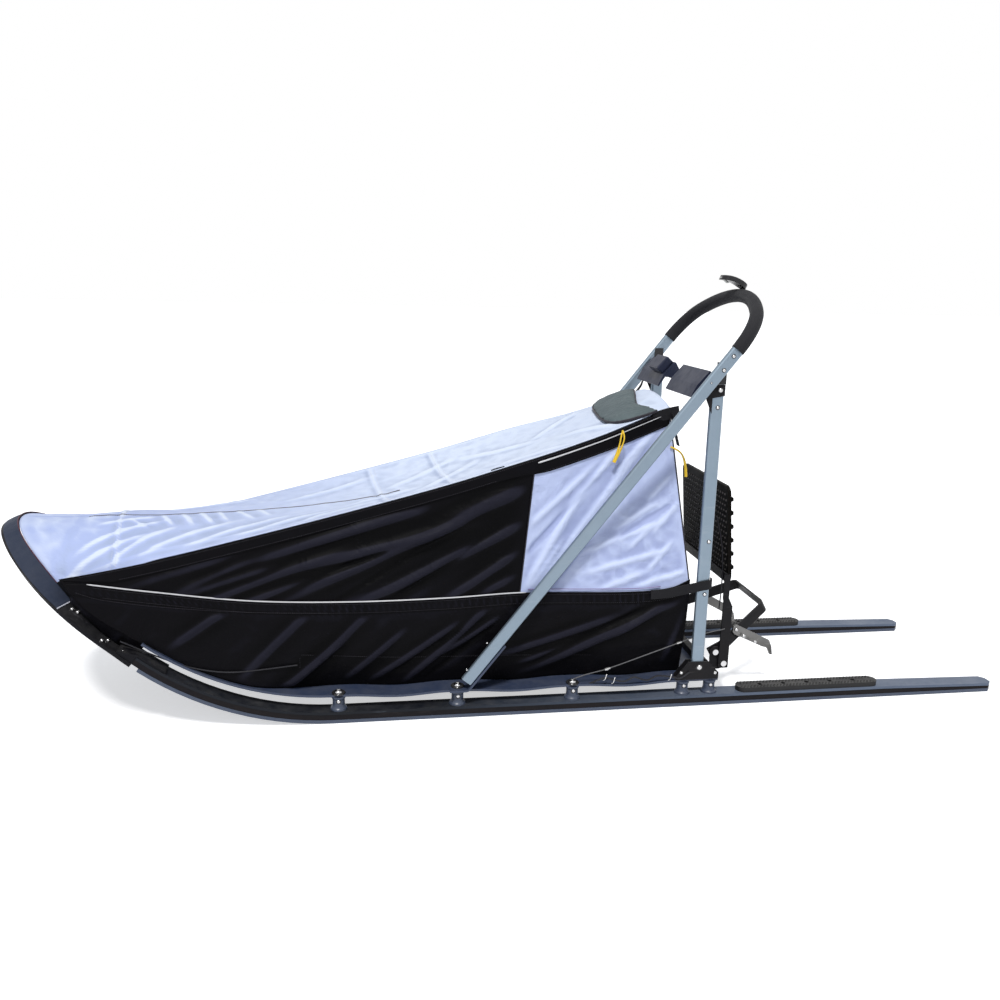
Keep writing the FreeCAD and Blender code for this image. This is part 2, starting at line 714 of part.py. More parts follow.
# Small curved plate on top of the grip
crown = crown_at(math.pi / 2)
rise = math.radians(badge_rise_deg)
seat_turn = rise + math.asin(badge_length / (2 * badge_radius))
plate_rear = crown + Vector(-math.sin(seat_turn), 0, math.cos(seat_turn)) * (grip_radius + plate_seat)
plate_front = plate_rear + Vector(badge_length * math.cos(rise), 0, badge_length * math.sin(rise))
middle = (plate_rear + plate_front) * 0.5
lift = Vector(-math.sin(rise), 0, math.cos(rise))
sagitta = badge_length ** 2 / (8 * badge_radius)
over_rear = plate_rear + lift * badge_thick
over_front = plate_front + lift * badge_thick
low_arc = Part.Arc(plate_rear, middle + lift * sagitta, plate_front).toShape()
high_arc = Part.Arc(over_front, middle + lift * (sagitta + badge_thick), over_rear).toShape()
badge_face = Part.Face(Part.Wire([low_arc, Part.makeLine(plate_front, over_front), high_arc,
                                  Part.makeLine(over_rear, plate_rear)]))
badge_face.translate(Vector(0, -badge_width / 2, 0))
badge = badge_face.extrude(Vector(0, badge_width, 0))
badge_ends = [e for e in badge.Edges if e.Length < badge_thick + cut_over]
badge = badge.makeFillet(badge_corner, badge_ends)
add("handle_plate", badge)


# Cargo bag panels: thin sheets between an outer and an inner net of points
def net_face(net):
    surface = Part.BSplineSurface()
    surface.interpolate(net)
    return surface


def sheet(outer, inner):
    top = net_face(outer)
    low = net_face(inner)
    faces = [top.toShape(), low.toShape()]
    for pick in (lambda s: s.uIso(s.bounds()[0]), lambda s: s.uIso(s.bounds()[1]),
                 lambda s: s.vIso(s.bounds()[2]), lambda s: s.vIso(s.bounds()[3])):
        faces.append(Part.makeRuledSurface(pick(top).toShape(), pick(low).toShape()))
    shell = Part.makeShell(faces)
    shell.sewShape()
    solid = Part.Solid(shell)
    if solid.Volume < 0:
        solid.reverse()
    return solid


def foot_z(x):
    """Height of the bag's foot: on the bed sheet, also where that turns up."""
    if x <= bed_bend_x:
        return bed_low(x) + bed_thick + foot_gap
    r = bed_bend_radius - bed_thick - foot_gap
    return bed_z + bed_bend_radius - math.sqrt(max(r ** 2 - (x - bed_bend_x) ** 2, 0))


def foot_half(x):
    t = min(max((x - bed_bend_x) / foot_spread_run, 0), 1)
    return bag_foot_half + (bed_half_width - foot_edge_margin - bag_foot_half) * (3 * t ** 2 - 2 * t ** 3)


front_low = bend_point(bed_bend_x, bed_z, bed_bend_radius, bed_bend_deg - foot_end_deg, bed_thick + seam_gap)
front_top_x = bag_top_line[0][0]


def side_y(x, z):
    """Half width of the bag's outer face at x and height z."""
    low = foot_z(min(x, front_low.x))
    pipe = smooth(pipe_line, x)
    top = smooth(bag_top_line, x)
    belly = smooth(bag_belly_line, x)
    if z <= pipe:
        t = min(max((z - low) / max(pipe - low, 1), 0), 1)
        return foot_half(x) + (belly - foot_half(x)) * math.sin(t * math.pi / 2)
    t = min(max((z - pipe) / max(top - pipe, 1), 0), 1)
    return belly + (smooth(bag_top_half, x) - belly) * t




def front_x(z):
    """Front end of the side panels at height z, along the hoop's leg."""
    t = (z - front_low.z) / (bag_top_line[0][1] - front_low.z)
    return front_low.x + (front_top_x - front_low.x) * t


def side_net(corner, columns, rows, push):
    """Net for a side panel. corner(a, b) gives x and z for a 0..1 rearward and b 0..1 upward."""
    net = []
    for i in range(columns):
        line = []
        for j in range(rows):
            x, z = corner(i / (columns - 1), j / (rows - 1))
            line.append(Vector(x, side_y(x, z) - push, z))
        net.append(line)
    return net


def solve_front(line):
    """Where a line z(x) meets the front end of the side panels."""
    x = front_top_x
    for _ in range(30):
        x = front_x(line(x))
    return x


pocket_front = solve_front(lambda x: smooth(pipe_line, x))


def pocket_corner(a, b):
    top_x = pocket_front + (bag_rear_x - pocket_front) * a
    low_x = front_low.x + (bag_rear_x - front_low.x) * a
    top_z = smooth(pipe_line, top_x)
    low_z = foot_z(low_x)
    bulge = front_bulge * math.sin(math.pi * b) * (1 - a) ** bulge_fade
    return low_x + (top_x - low_x) * b + bulge, low_z + (top_z - low_z) * b


def hem_z(x):
    return smooth(bag_top_line, x) - seam_gap


def panel_corner(front, rear):
    def corner(a, b):
        low_x = front[0] + (rear[0] - front[0]) * a
        high_x = front[1] + (rear[1] - front[1]) * a
        low_z = smooth(pipe_line, low_x) - pocket_lap
        return low_x + (high_x - low_x) * b, low_z + (hem_z(high_x) - low_z) * b
    return corner


lap = fabric + seam_gap
panel_front_low = solve_front(lambda x: smooth(pipe_line, x) - pocket_lap)
add_pair("bag_pocket", sheet(side_net(pocket_corner, 31, 9, 0), side_net(pocket_corner, 31, 9, fabric)))
side_front = panel_corner((panel_front_low, front_top_x),
                          (window_front_low_x + seam_gap, window_front_top_x + seam_gap))
side_rear = panel_corner((window_front_low_x, window_front_top_x), (bag_rear_x, bag_top_line[-1][0]))
add_pair("bag_side", sheet(side_net(side_front, 33, 7, lap), side_net(side_front, 33, 7, lap + fabric)))
add_pair("bag_window", sheet(side_net(side_rear, 13, 7, lap), side_net(side_rear, 13, 7, lap + fabric)))


def hem_corner(a, b):
    start = front_top_x - hem_margin
    x = start + (bag_top_line[-1][0] - start) * a
    return x, smooth(bag_top_line, x) - hem_height * min(1, (front_top_x - x + hem_margin) / hem_grow) * (1 - b)


add_both("bag_hems", sheet(side_net(hem_corner, 31, 4, lap - hem_thick - seam_gap),
                           side_net(hem_corner, 31, 4, lap - seam_gap)))


# Cover over the load space, crowned at the front, hollow in the middle, fixed to the hoop's upper edge
def hoop_inner(t, drop):
    """Point just inside the hoop's upper edge, t -1..1 from right to left."""
    s = bow_total - abs(t) * (bow_total - cover_run)
    edge, across, out, width = bow_frame(s)
    p = edge + across * (width + cover_inside) + out * (bow_thick / 2 + drop)
    return Vector(p.x, math.copysign(p.y, t) if t else 0.0, p.z)


def run_for_x(x):
    low, high = 0.0, bow_total
    for _ in range(40):
        mid = (low + high) / 2
        edge, across, out, width = bow_frame(mid)
        if (edge + across * (width + cover_inside)).x < x:
            low = mid
        else:
            high = mid
    return low


cover_run = run_for_x(front_top_x)


def cover_net(drop, columns=9, rows=25):
    net = []
    rear = bag_top_line[-1][0]
    for i in range(rows):
        a = i / (rows - 1)
        line = []
        for j in range(columns):
            t = 1 - 2 * j / (columns - 1)
            x = rear + (front_top_x - cover_tuck - rear) * a / (1 - cover_front_share)
            if a <= 1 - cover_front_share:
                half_here = smooth(bag_top_half, x) - lap
                z = smooth(bag_top_line, x) + smooth(crown_line, x) * (1 - t ** 2) + fabric + seam_gap - drop
                line.append(Vector(x, half_here * t, z))
            else:
                blend = (a - 1 + cover_front_share) / cover_front_share
                x0 = front_top_x - cover_tuck
                z0 = smooth(bag_top_line, x0) + smooth(crown_line, x0) * (1 - t ** 2) + fabric + seam_gap
                base = Vector(x0, (smooth(bag_top_half, x0) - lap) * t, z0)
                goal = hoop_inner(t, cover_drop)
                line.append(base + (goal - base) * blend - Vector(0, 0, drop))
        net.append(line)
    return net


add("bag_cover", sheet(cover_net(0), cover_net(fabric)))


# Front panel from the bed's upturned end to the hoop, under the cover
def front_point(t, b):
    """Point of the front panel, t -1..1 from right to left and b 0..1 upward."""
    low = Vector(front_low.x - cover_drop, (foot_half(front_low.x) - fabric - 1.5 * seam_gap) * t,
                 front_low.z + cover_drop)
    goal = hoop_inner(t, cover_drop - front_tuck)
    goal = Vector(goal.x - front_back, goal.y * 0.985, goal.z - front_tuck)
    return low + (goal - low) * b


def front_net(push, columns=9, rows=6):
    net = []
    for i in range(rows):
        line = []
        for j in range(columns):
            line.append(front_point(1 - 2 * j / (columns - 1), i / (rows - 1))
                        + Vector(-push * 0.7, 0, push * 0.7))
        net.append(line)
    return net


# Wings that close the space between the front panel's sides and the hoop's legs
def wing_net(push, rows=13):
    net = []
    for i in range(rows):
        share = i / (rows - 1)
        high = front_point(1, wing_low + (wing_high - wing_low) * share) + Vector(0, wing_gap + push, 0)
        edge, across, out, width = bow_frame(wing_start + (cover_run * wing_high - wing_start) * share)
        low = edge + across * (width - wing_inset + wing_thick - push) + out * (bow_thick + wing_seat)
        net.append([high, (high + low) * 0.5, low])
    return net


wing = sheet(wing_net(wing_thick), wing_net(0))
add("bag_front", [sheet(front_net(0), front_net(fabric)), wing, mirrored(wing)])


# Rear panel
def rear_net(push, columns=7, rows=8):
    net = []
    for i in range(rows):
        b = i / (rows - 1)
        line = []
        for j in range(columns):
            t = 1 - 2 * j / (columns - 1)
            z = foot_z(bag_rear_x) + (bag_top_line[-1][1] - rear_tuck - foot_z(bag_rear_x)) * b
            x = rear_x(z) + rear_inset
            y = (side_y(x, z) - lap - fabric - rear_side_gap) * t
            line.append(Vector(x + push, y, z))
        net.append(line)
    return net


def rear_x(z):
    knee = smooth(pipe_line, bag_rear_x)
    if z <= knee:
        return bag_rear_x
    t = (z - knee) / (bag_top_line[-1][1] - knee)
    return bag_rear_x + (bag_top_line[-1][0] - bag_rear_x) * t


add("bag_rear", sheet(rear_net(0), rear_net(fabric)))

# Padded flap on the rear of the cover
flap_outline = [(-190.0, 30.0), (-212.0, -70.0), (-262.0, -132.0), (-330.0, -128.0), (-352.0, -60.0),
                (-350.0, 60.0), (-330.0, 118.0), (-262.0, 128.0), (-212.0, 96.0)]
flap_curve = Part.BSplineCurve()
flap_top = bag_top_line[-1][1] + crown_line[-1][1] + 4 * flap_thick
flap_deep = flap_top - smooth(bag_top_line, flap_outline[0][0]) + 4 * flap_thick
flap_curve.interpolate([Vector(x, y, flap_top) for x, y in flap_outline], PeriodicFlag=True)
flap_tool = Part.Face(Part.Wire(flap_curve.toShape())).extrude(Vector(0, 0, -flap_deep))


flap_front_x = max(x for x, y in flap_outline) + 3 * flap_thick
flap_rear_x = bag_top_line[-1][0] + fabric


def flap_net(rise):
    net = []
    for i in range(9):
        x = flap_front_x + (flap_rear_x - flap_front_x) * i / 8
        line = []
        for j in range(9):
            t = 1 - 2 * j / 8
            half_here = smooth(bag_top_half, x) - lap
            z = smooth(bag_top_line, x) + smooth(crown_line, x) * (1 - t ** 2) + fabric + seam_gap
            line.append(Vector(x, half_here * t, z + rise))
        net.append(line)
    return net


add("cover_flap", sheet(flap_net(flap_thick), flap_net(flap_seat)).common(flap_tool))

# Dash bar between the uprights with two folded plates and a block
bar_reach = upright_y - upright_wide / 2 - fit_gap / 2
add("dash_bar", box(upright_x - dash_bar_width / 2, upright_x + dash_bar_width / 2, -bar_reach, bar_reach,
                    dash_bar_z, dash_bar_z + dash_bar_thick))
plate_root = dash_bar_z + dash_bar_thick
fold = [(upright_x + dx, plate_root + dz) for dx, dz in dash_fold]
add_both("dash_plates", side_prism(fold, dash_plate_inner, bar_reach - upright_wall))
block = Part.makeBox(dash_block_size[0], dash_block_size[1], dash_block_size[2])
block = block.makeFillet(dash_block_round, block.Edges)
facet_low = Vector(fold[1][0], 0, fold[1][1])
facet_dir = (Vector(fold[2][0], 0, fold[2][1]) - facet_low).normalize()
facet_out = Vector(facet_dir.z, 0, -facet_dir.x)
block_corner = (facet_low + facet_dir * dash_block_rise + facet_out * fit_gap
                - Vector(0, dash_plate_inner + dash_block_side, 0))
block_turn = FreeCAD.Rotation(facet_dir, Vector(0, -1, 0), facet_out, "ZXY")
block.Placement = FreeCAD.Placement(block_corner, block_turn)
add("dash_block", block)

# Short upright straps inside the struts, above the dash
strap_y = strut_y - strut_wide / 2 - fit_gap
strap_x = upright_x - strap_back
strap_low = upright_top_z + seam_gap
add_both("dash_straps", box(strap_x - strap_width / 2, strap_x + strap_width / 2, strap_y - strap_thick,
                            strap_y, strap_low, strap_low + strap_height))

# Rear cross bar with the hinge plates of brake and drag mat
bar_x = bed_rear_x + bracket_offset
rear_half = inner_y - bracket_plate - seam_gap
add("rear_bar", box(bar_x, bar_x + rear_bar_size, -rear_half, rear_half, bed_top_z, bed_top_z + rear_bar_size))
hinge_front = bar_x - fit_gap / 2
hinge_low = bed_top_z + seam_gap
hinge_outline = [(hinge_front, hinge_low), (hinge_front, brake_pin_z + hinge_shoulder / 2),
                 (bar_x - hinge_shoulder, brake_pin_z + hinge_eye),
                 (brake_pin_x - hinge_shoulder, brake_pin_z + hinge_eye),
                 (mat_pin_x - hinge_eye, mat_pin_z + hinge_eye), (mat_pin_x - hinge_eye, mat_pin_z - hinge_eye),
                 (mat_pin_x + hinge_shoulder, hinge_low)]
hinge_plate = side_prism(hinge_outline, hinge_plate_y, hinge_plate_y + hinge_plate_thick)
brake_leg_y = hinge_plate_y - moving_gap - brake_bar_thick
arm_y = hinge_plate_y + hinge_plate_thick + moving_gap
for x, z in ((brake_pin_x, brake_pin_z), (mat_pin_x, mat_pin_z)):
    hinge_plate = hinge_plate.cut(cylinder_y(pin_radius, x, brake_leg_y, arm_y, z))
add_both("hinge_plates", hinge_plate)
plate_outer_y = hinge_plate_y + hinge_plate_thick
arm_outer_y = arm_y + arm_thick + seam_gap
nut_y = brake_leg_y - pin_nut_high
brake_pin = cylinder_y(pin_radius, brake_pin_x, nut_y, plate_outer_y + pin_head_high, brake_pin_z)
brake_pin = brake_pin.fuse([
    cylinder_y(pin_head_radius, brake_pin_x, plate_outer_y, plate_outer_y + pin_head_high, brake_pin_z),
    cylinder_y(pin_head_radius, brake_pin_x, nut_y, brake_leg_y - seam_gap, brake_pin_z)]).removeSplitter()
mat_pin = cylinder_y(pin_radius, mat_pin_x, hinge_plate_y - pin_nut_high, arm_outer_y + pin_nut_high, mat_pin_z)
mat_pin = mat_pin.fuse([
    cylinder_y(pin_head_radius, mat_pin_x, arm_outer_y, arm_outer_y + pin_nut_high, mat_pin_z),
    cylinder_y(pin_head_radius, mat_pin_x, hinge_plate_y - pin_nut_high, hinge_plate_y, mat_pin_z)])
mat_pin = mat_pin.removeSplitter()
add_both("hinge_pins", [brake_pin, mat_pin])

# Brake: a flat bar bent into a loop, on edge, rising rearward from its pins
leg_in = brake_leg_y
leg_out = brake_leg_y + brake_bar_thick
turn = math.atan2(leg_in - brake_rear_half, brake_length - brake_leg_straight)


def loop_face(z):
    slant = brake_bar_thick * math.tan((math.pi / 2 - turn) / 2)
    bend_u = brake_leg_straight + brake_bar_thick * math.tan(turn / 2)
    outer = [(-brake_eye, leg_out), (bend_u, leg_out), (brake_length, brake_rear_half + slant),
             (brake_length, -brake_rear_half - slant), (bend_u, -leg_out), (-brake_eye, -leg_out)]
    inner_u = brake_length - brake_bar_thick
    inner = [(-brake_eye, -leg_in), (brake_leg_straight, -leg_in), (inner_u, -brake_rear_half),
             (inner_u, brake_rear_half), (brake_leg_straight, leg_in), (-brake_eye, leg_in)]
    pts = [Vector(-u, y, z) for u, y in outer + inner]
    return Part.Face(Part.makePolygon(pts + pts[:1]))


loop = loop_face(-brake_bar_deep / 2).extrude(Vector(0, 0, brake_bar_deep))


def upright_edges(solid, x):
    """Edges along Z at the given x."""
    tall = [e for e in solid.Edges if len(e.Vertexes) == 2
            and abs(e.Vertexes[0].Z - e.Vertexes[1].Z) > 0.9 * brake_bar_deep]
    return [e for e in tall if abs(e.Vertexes[0].X - x) < 0.1]


loop = loop.makeFillet(brake_corner, upright_edges(loop, -brake_length))
loop = loop.makeFillet(brake_corner - brake_bar_thick, upright_edges(loop, brake_bar_thick - brake_length))
loop = loop.cut(cylinder_y(pin_radius + pin_fit, 0, -runner_gauge, runner_gauge, 0))
loop.rotate(Vector(0, 0, 0), Vector(0, 1, 0), brake_rise_deg)
loop.translate(Vector(brake_pin_x, 0, brake_pin_z))
add("brake_loop", loop)

# Claws bolted to the loop's legs
claw_face = Part.Face(Part.makePolygon([Vector(-u, 0, z) for u, z in claw_profile + claw_profile[:1]]))
claw = claw_face.extrude(Vector(0, claw_thick, 0))
claw.rotate(Vector(0, 0, 0), Vector(0, 0, 1), claw_in_deg)
rise_arc = math.radians(brake_rise_deg)
claw_x = brake_pin_x - claw_run * math.cos(rise_arc) + claw_rise * math.sin(rise_arc)
claw_z = brake_pin_z + claw_run * math.sin(rise_arc) + claw_rise * math.cos(rise_arc)
leg_here = leg_in - (claw_run - brake_leg_straight) * math.tan(turn) + brake_bar_thick / math.cos(turn)
claw.translate(Vector(claw_x, leg_here + claw_side - claw_thick / 2 - 2 * fit_gap, claw_z))
add("brake_claws", [claw, mirrored(claw)])

# Drag mat: a piece of lugged track between two arms on a cross bar
arm_top = mat_low_z + arm_lap
arm_half = arm_wide / 2
arm_front = mat_front_x + arm_narrow
arm_rear = arm_front - arm_narrow
bend_high = mat_low_z - 0.6 * arm_bend_low
arm_outline = [(mat_pin_x - arm_half, mat_pin_z - arm_half), (mat_pin_x + arm_half, mat_pin_z - arm_half),
               (mat_pin_x + arm_half, mat_pin_z + arm_half),
               (mat_front_x + arm_half, mat_low_z - 0.75 * arm_bend_low),
               (arm_front, bend_high), (arm_front, arm_top), (arm_rear, arm_top), (arm_rear, bend_high),
               (mat_pin_x - arm_half, mat_low_z - arm_bend_low)]
arm = side_prism(arm_outline, arm_y, arm_y + arm_thick)
arm = arm.cut(cylinder_y(pin_radius + pin_fit, mat_pin_x, hinge_plate_y, arm_outer_y, mat_pin_z))
cross_front = mat_front_x + fit_gap / 2 + mat_bar_thick
cross_low = mat_low_z + bracket_offset
cross = box(cross_front - mat_bar_thick, cross_front, -arm_y - cut_over, arm_y + cut_over, cross_low,
            cross_low + mat_bar_width)
frame = arm.fuse([mirrored(arm), cross]).removeSplitter()
add("mat_frame", frame)
mat = box(mat_front_x - mat_thick, mat_front_x, -mat_half_width, mat_half_width, mat_low_z,
          mat_low_z + mat_height)
mat_edges = [e for e in mat.Edges if abs(e.Vertexes[0].X - e.Vertexes[1].X) > 0.9 * mat_thick]
mat = mat.makeFillet(mat_corner, mat_edges)
lugs = []
lug_step = (2 * mat_half_width - 2 * lug_margin) / lug_columns
for r in range(lug_rows):
    z = mat_low_z + mat_height / 2 + (r - (lug_rows - 1) / 2) * lug_pitch
    back = mat_front_x - mat_thick
    profile = [(back + lug_root, z - lug_base / 2), (back + lug_root, z + lug_base / 2),
               (back - lug_height, z + lug_tip / 2),
               (back - lug_height, z - lug_tip / 2)]
    for c in range(lug_columns):
        y = (c - (lug_columns - 1) / 2) * lug_step
        lugs.append(side_prism(profile, y - lug_length / 2, y + lug_length / 2))
mat = mat.fuse(lugs).removeSplitter()
mat.rotate(Vector(mat_front_x, 0, cross_low + mat_bar_width), Vector(0, 1, 0), mat_lean_deg)
add("drag_mat", mat)

# The sled's middle between the tail and the nose goes to x = 0
nose_edge, nose_across, nose_out, nose_width = bow_frame(bow_total)
nose_x = max((nose_edge + nose_across * sleeve_edge + nose_out * (bow_thick + sleeve_thick)).x, nose_edge.x)
middle_x = (nose_x + tail_x) / 2
print("moved forward by", -middle_x, "brake pin", brake_pin_x - middle_x, "mat pin", mat_pin_x - middle_x)

# Write the pieces
whole = FreeCAD.BoundBox()
for name, shapes in parts.items():
    solids = [s for shape in shapes for s in shape.Solids]
    shape = solids[0] if len(solids) == 1 else Part.makeCompound(solids)
    shape.translate(Vector(-middle_x, 0, 0))
    whole.add(shape.BoundBox)
    if not shape.isValid() or any(s.Volume <= 0 for s in solids):
        print("check", name, shape.isValid(), [round(s.Volume) for s in solids])
    shape.exportStep("parts/" + name + ".step")
print("pieces", len(parts), "in", whole)
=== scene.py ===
import math
import bmesh
import bpy
import numpy as np
from mathutils import Matrix, Vector


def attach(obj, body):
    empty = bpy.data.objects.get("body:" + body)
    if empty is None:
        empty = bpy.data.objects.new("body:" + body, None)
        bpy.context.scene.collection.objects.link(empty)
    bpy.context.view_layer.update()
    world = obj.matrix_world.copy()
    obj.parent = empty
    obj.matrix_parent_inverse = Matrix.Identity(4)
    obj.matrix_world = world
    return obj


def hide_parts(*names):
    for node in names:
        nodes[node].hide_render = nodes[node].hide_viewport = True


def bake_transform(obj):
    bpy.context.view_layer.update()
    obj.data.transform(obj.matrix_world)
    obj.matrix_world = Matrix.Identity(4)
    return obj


# Dog sled with a cargo bag: camera, light, finishes, and what the plain solids leave out.
# The tables are in millimetres in the drawing's own frame, and inFrame() brings them to the scene.

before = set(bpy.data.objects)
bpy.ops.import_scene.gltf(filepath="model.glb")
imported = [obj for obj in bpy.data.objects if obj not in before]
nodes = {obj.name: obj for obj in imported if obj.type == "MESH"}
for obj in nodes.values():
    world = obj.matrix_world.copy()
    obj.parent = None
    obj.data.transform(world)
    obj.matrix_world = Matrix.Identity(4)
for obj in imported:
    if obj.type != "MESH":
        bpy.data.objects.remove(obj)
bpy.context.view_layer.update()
scene = bpy.context.scene
forwardShift = 4.694  # the drawing's frame lies this far behind the scene's, in mm

# camera, solved from features that show on both sides of the sled; place in metres, roll in radians
camera = {"place": (0.4433211, 2.4529627, 1.0906116), "look": (-0.15299718, -0.96190414, -0.22656632),
          "roll": 0.02242, "lens": 33.466, "sensor": 36.0, "nearest": 0.05, "farthest": 200}


# The camera's three directions come from its look and its roll.
def makeCamera():
    forward = Vector(camera["look"]).normalized()
    right = forward.cross(Vector((0, 0, 1))).normalized()
    up = right.cross(forward)
    c, s = math.cos(camera["roll"]), math.sin(camera["roll"])
    lens = bpy.data.cameras.new("viewCamera")
    lens.lens = camera["lens"]
    lens.sensor_width = camera["sensor"]
    lens.clip_start = camera["nearest"]
    lens.clip_end = camera["farthest"]
    thing = bpy.data.objects.new("viewCamera", lens)
    stance = Matrix((right * c + up * s, up * c - right * s, -forward)).transposed().to_4x4()
    stance.translation = Vector(camera["place"])
    thing.matrix_world = stance
    scene.collection.objects.link(thing)
    scene.camera = thing


makeCamera()
scene.view_settings.view_transform = "Standard"
print("camera set")

# node helpers
fullTurn = 6.2832
groups = {}
finishes = {}


# A new node with its settings; each socket gets a value or a link.
def put(tree, kind, sockets=None, **settings):
    node = tree.nodes.new(kind)
    for key, value in settings.items():
        setattr(node, key, value)
    for key, value in (sockets or {}).items():
        if isinstance(value, bpy.types.NodeSocket):
            tree.links.new(value, node.inputs[key])
        else:
            node.inputs[key].default_value = value
    return node


def setAll(shader, values):
    for socket, value in values.items():
        shader.inputs[socket].default_value = value


def maths(tree, operation, a, b=0.5, clamp=False):
    return put(tree, "ShaderNodeMath", {0: a, 1: b}, operation=operation, use_clamp=clamp).outputs[0]


# The product of all the values; the last step may be held between 0 and 1.
def product(tree, *values, clamp=False):
    result = values[0]
    for number, value in enumerate(values[1:], 2):
        result = maths(tree, "MULTIPLY", result, value, clamp and number == len(values))
    return result


# An empty node group: an input without a default is a vector, four numbers are a colour, one is a value.
def newGroup(name, inputs, outputs):
    group = groups[name] = bpy.data.node_groups.new(name, "ShaderNodeTree")
    for label, value in inputs.items():
        kind = "Vector" if value is None else "Color" if isinstance(value, tuple) else "Float"
        socket = group.interface.new_socket(name=label, in_out="INPUT", socket_type="NodeSocket" + kind)
        if value is not None:
            socket.default_value = value
    for label, kind in outputs.items():
        group.interface.new_socket(name=label, in_out="OUTPUT", socket_type="NodeSocket" + kind)
    return group, group.nodes.new("NodeGroupInput").outputs, group.nodes.new("NodeGroupOutput").inputs


# A value from low to high mapped to first to last, held beyond both.
def rampBetween(tree, value, low, high, first=0.0, last=1.0):
    node = put(tree, "ShaderNodeMapRange", {0: value, 1: low, 2: high, 3: first, 4: last}, clamp=True)
    return node.outputs[0]


# Colour a turning into colour b by a share; 0, 6 and 7 are the colour sockets of a Mix node.
def mixColours(tree, share, a, b):
    return put(tree, "ShaderNodeMix", {0: share, 6: a, 7: b}, data_type="RGBA").outputs[2]


def noise(tree, vector, scale, detail, roughness=0.5, **others):
    sockets = {"Vector": vector, "Scale": scale, "Detail": detail, "Roughness": roughness, **others}
    return put(tree, "ShaderNodeTexNoise", sockets).outputs[0]


# uneven tone: two sizes of cloud, mixing one colour into another
cloud = {"broadShare": 0.7, "spotShare": 0.3, "spotScale": 7.3, "low": 0.38, "high": 0.66}
tree, given, made = newGroup(
    "unevenTone", {"Vector": None, "Scale": 8.0, "Amount": 0.5, "Base": (1, 1, 1, 1), "Other": (0, 0, 0, 1)},
    {"Color": "Color", "Mask": "Float"})
broad = noise(tree, given["Vector"], given["Scale"], 6.0, 0.62)
spots = noise(tree, given["Vector"], product(tree, given["Scale"], cloud["spotScale"]), 3.0)
clouds = maths(tree, "ADD", product(tree, broad, cloud["broadShare"]),
               product(tree, spots, cloud["spotShare"]))
mask = rampBetween(tree, clouds, cloud["low"], cloud["high"])
tinted = mixColours(tree, product(tree, mask, given["Amount"], clamp=True), given["Base"], given["Other"])
tree.links.new(tinted, made["Color"])
tree.links.new(mask, made["Mask"])

# scuffs: thin streaks along x, only inside broad patches
scuffing = {"turn": (0.1, 0.2, 0.35), "stretch": (0.16, 2.2, 1.4), "patchScale": 6.0, "thin": (0.60, 0.70),
            "where": (0.42, 0.62)}
tree, given, made = newGroup("scuffs", {"Vector": None, "Scale": 30.0, "Amount": 0.3}, {"Mask": "Float"})
stretched = put(tree, "ShaderNodeMapping",
                {"Vector": given["Vector"], "Rotation": scuffing["turn"], "Scale": scuffing["stretch"]})
streaks = noise(tree, stretched.outputs[0], given["Scale"], 4.0, 0.7)
patches = noise(tree, given["Vector"], scuffing["patchScale"], 2.0)
worn = product(tree, rampBetween(tree, streaks, *scuffing["thin"]),
               rampBetween(tree, patches, *scuffing["where"]), given["Amount"], clamp=True)
tree.links.new(worn, made["Mask"])

# grain: fine pits and small cells, as a normal
cellShare = 0.35
tree, given, made = newGroup("grain", {"Vector": None, "Scale": 400.0, "Strength": 0.2, "Distance": 0.0004},
                             {"Normal": "Vector"})
pits = noise(tree, given["Vector"], given["Scale"], 3.0, 0.6)
cells = put(tree, "ShaderNodeTexVoronoi", {"Vector": given["Vector"], "Scale": given["Scale"]}, feature="F1")
height = maths(tree, "ADD", pits, product(tree, cells.outputs[0], cellShare))
bump = put(tree, "ShaderNodeBump", {"Strength": given["Strength"], "Distance": given["Distance"],
                                    "Height": height})
tree.links.new(bump.outputs[0], made["Normal"])

# dust: settles on what faces up, thicker in patches
settling = {"facing": (0.2, 0.95), "clumpScale": 23.0, "clumps": (0.35, 0.75)}
tree, given, made = newGroup("dust", {"Vector": None, "Amount": 0.2}, {"Mask": "Float"})
normal = put(tree, "ShaderNodeNewGeometry").outputs["Normal"]
upward = put(tree, "ShaderNodeSeparateXYZ", {0: normal}).outputs[2]
clumps = noise(tree, given["Vector"], settling["clumpScale"], 7.0, 0.7)
settled = product(tree, rampBetween(tree, upward, *settling["facing"]),
                  rampBetween(tree, clumps, *settling["clumps"]), given["Amount"], clamp=True)
tree.links.new(settled, made["Mask"])

# weave: product of two sines, one per thread direction, and a coarser ripstop grid of raised lines
ripstop = {"line": 0.09, "threadHeight": 0.35}
tree, given, made = newGroup("weave", {"Vector": None, "Threads": 1400.0, "Grid": 180.0},
                             {"Height": "Float", "Mask": "Float"})
ways = put(tree, "ShaderNodeSeparateXYZ", {0: given["Vector"]}).outputs
waves = [maths(tree, "SINE", product(tree, ways[k], product(tree, given["Threads"], fullTurn)))
         for k in (0, 1)]
lines = [maths(tree, "LESS_THAN", maths(tree, "FRACT", product(tree, ways[k], given["Grid"])),
               ripstop["line"])
         for k in (0, 1)]
rip = maths(tree, "MAXIMUM", *lines)
threads = product(tree, product(tree, *waves), ripstop["threadHeight"])
tree.links.new(maths(tree, "ADD", threads, rip), made["Height"])
tree.links.new(rip, made["Mask"])

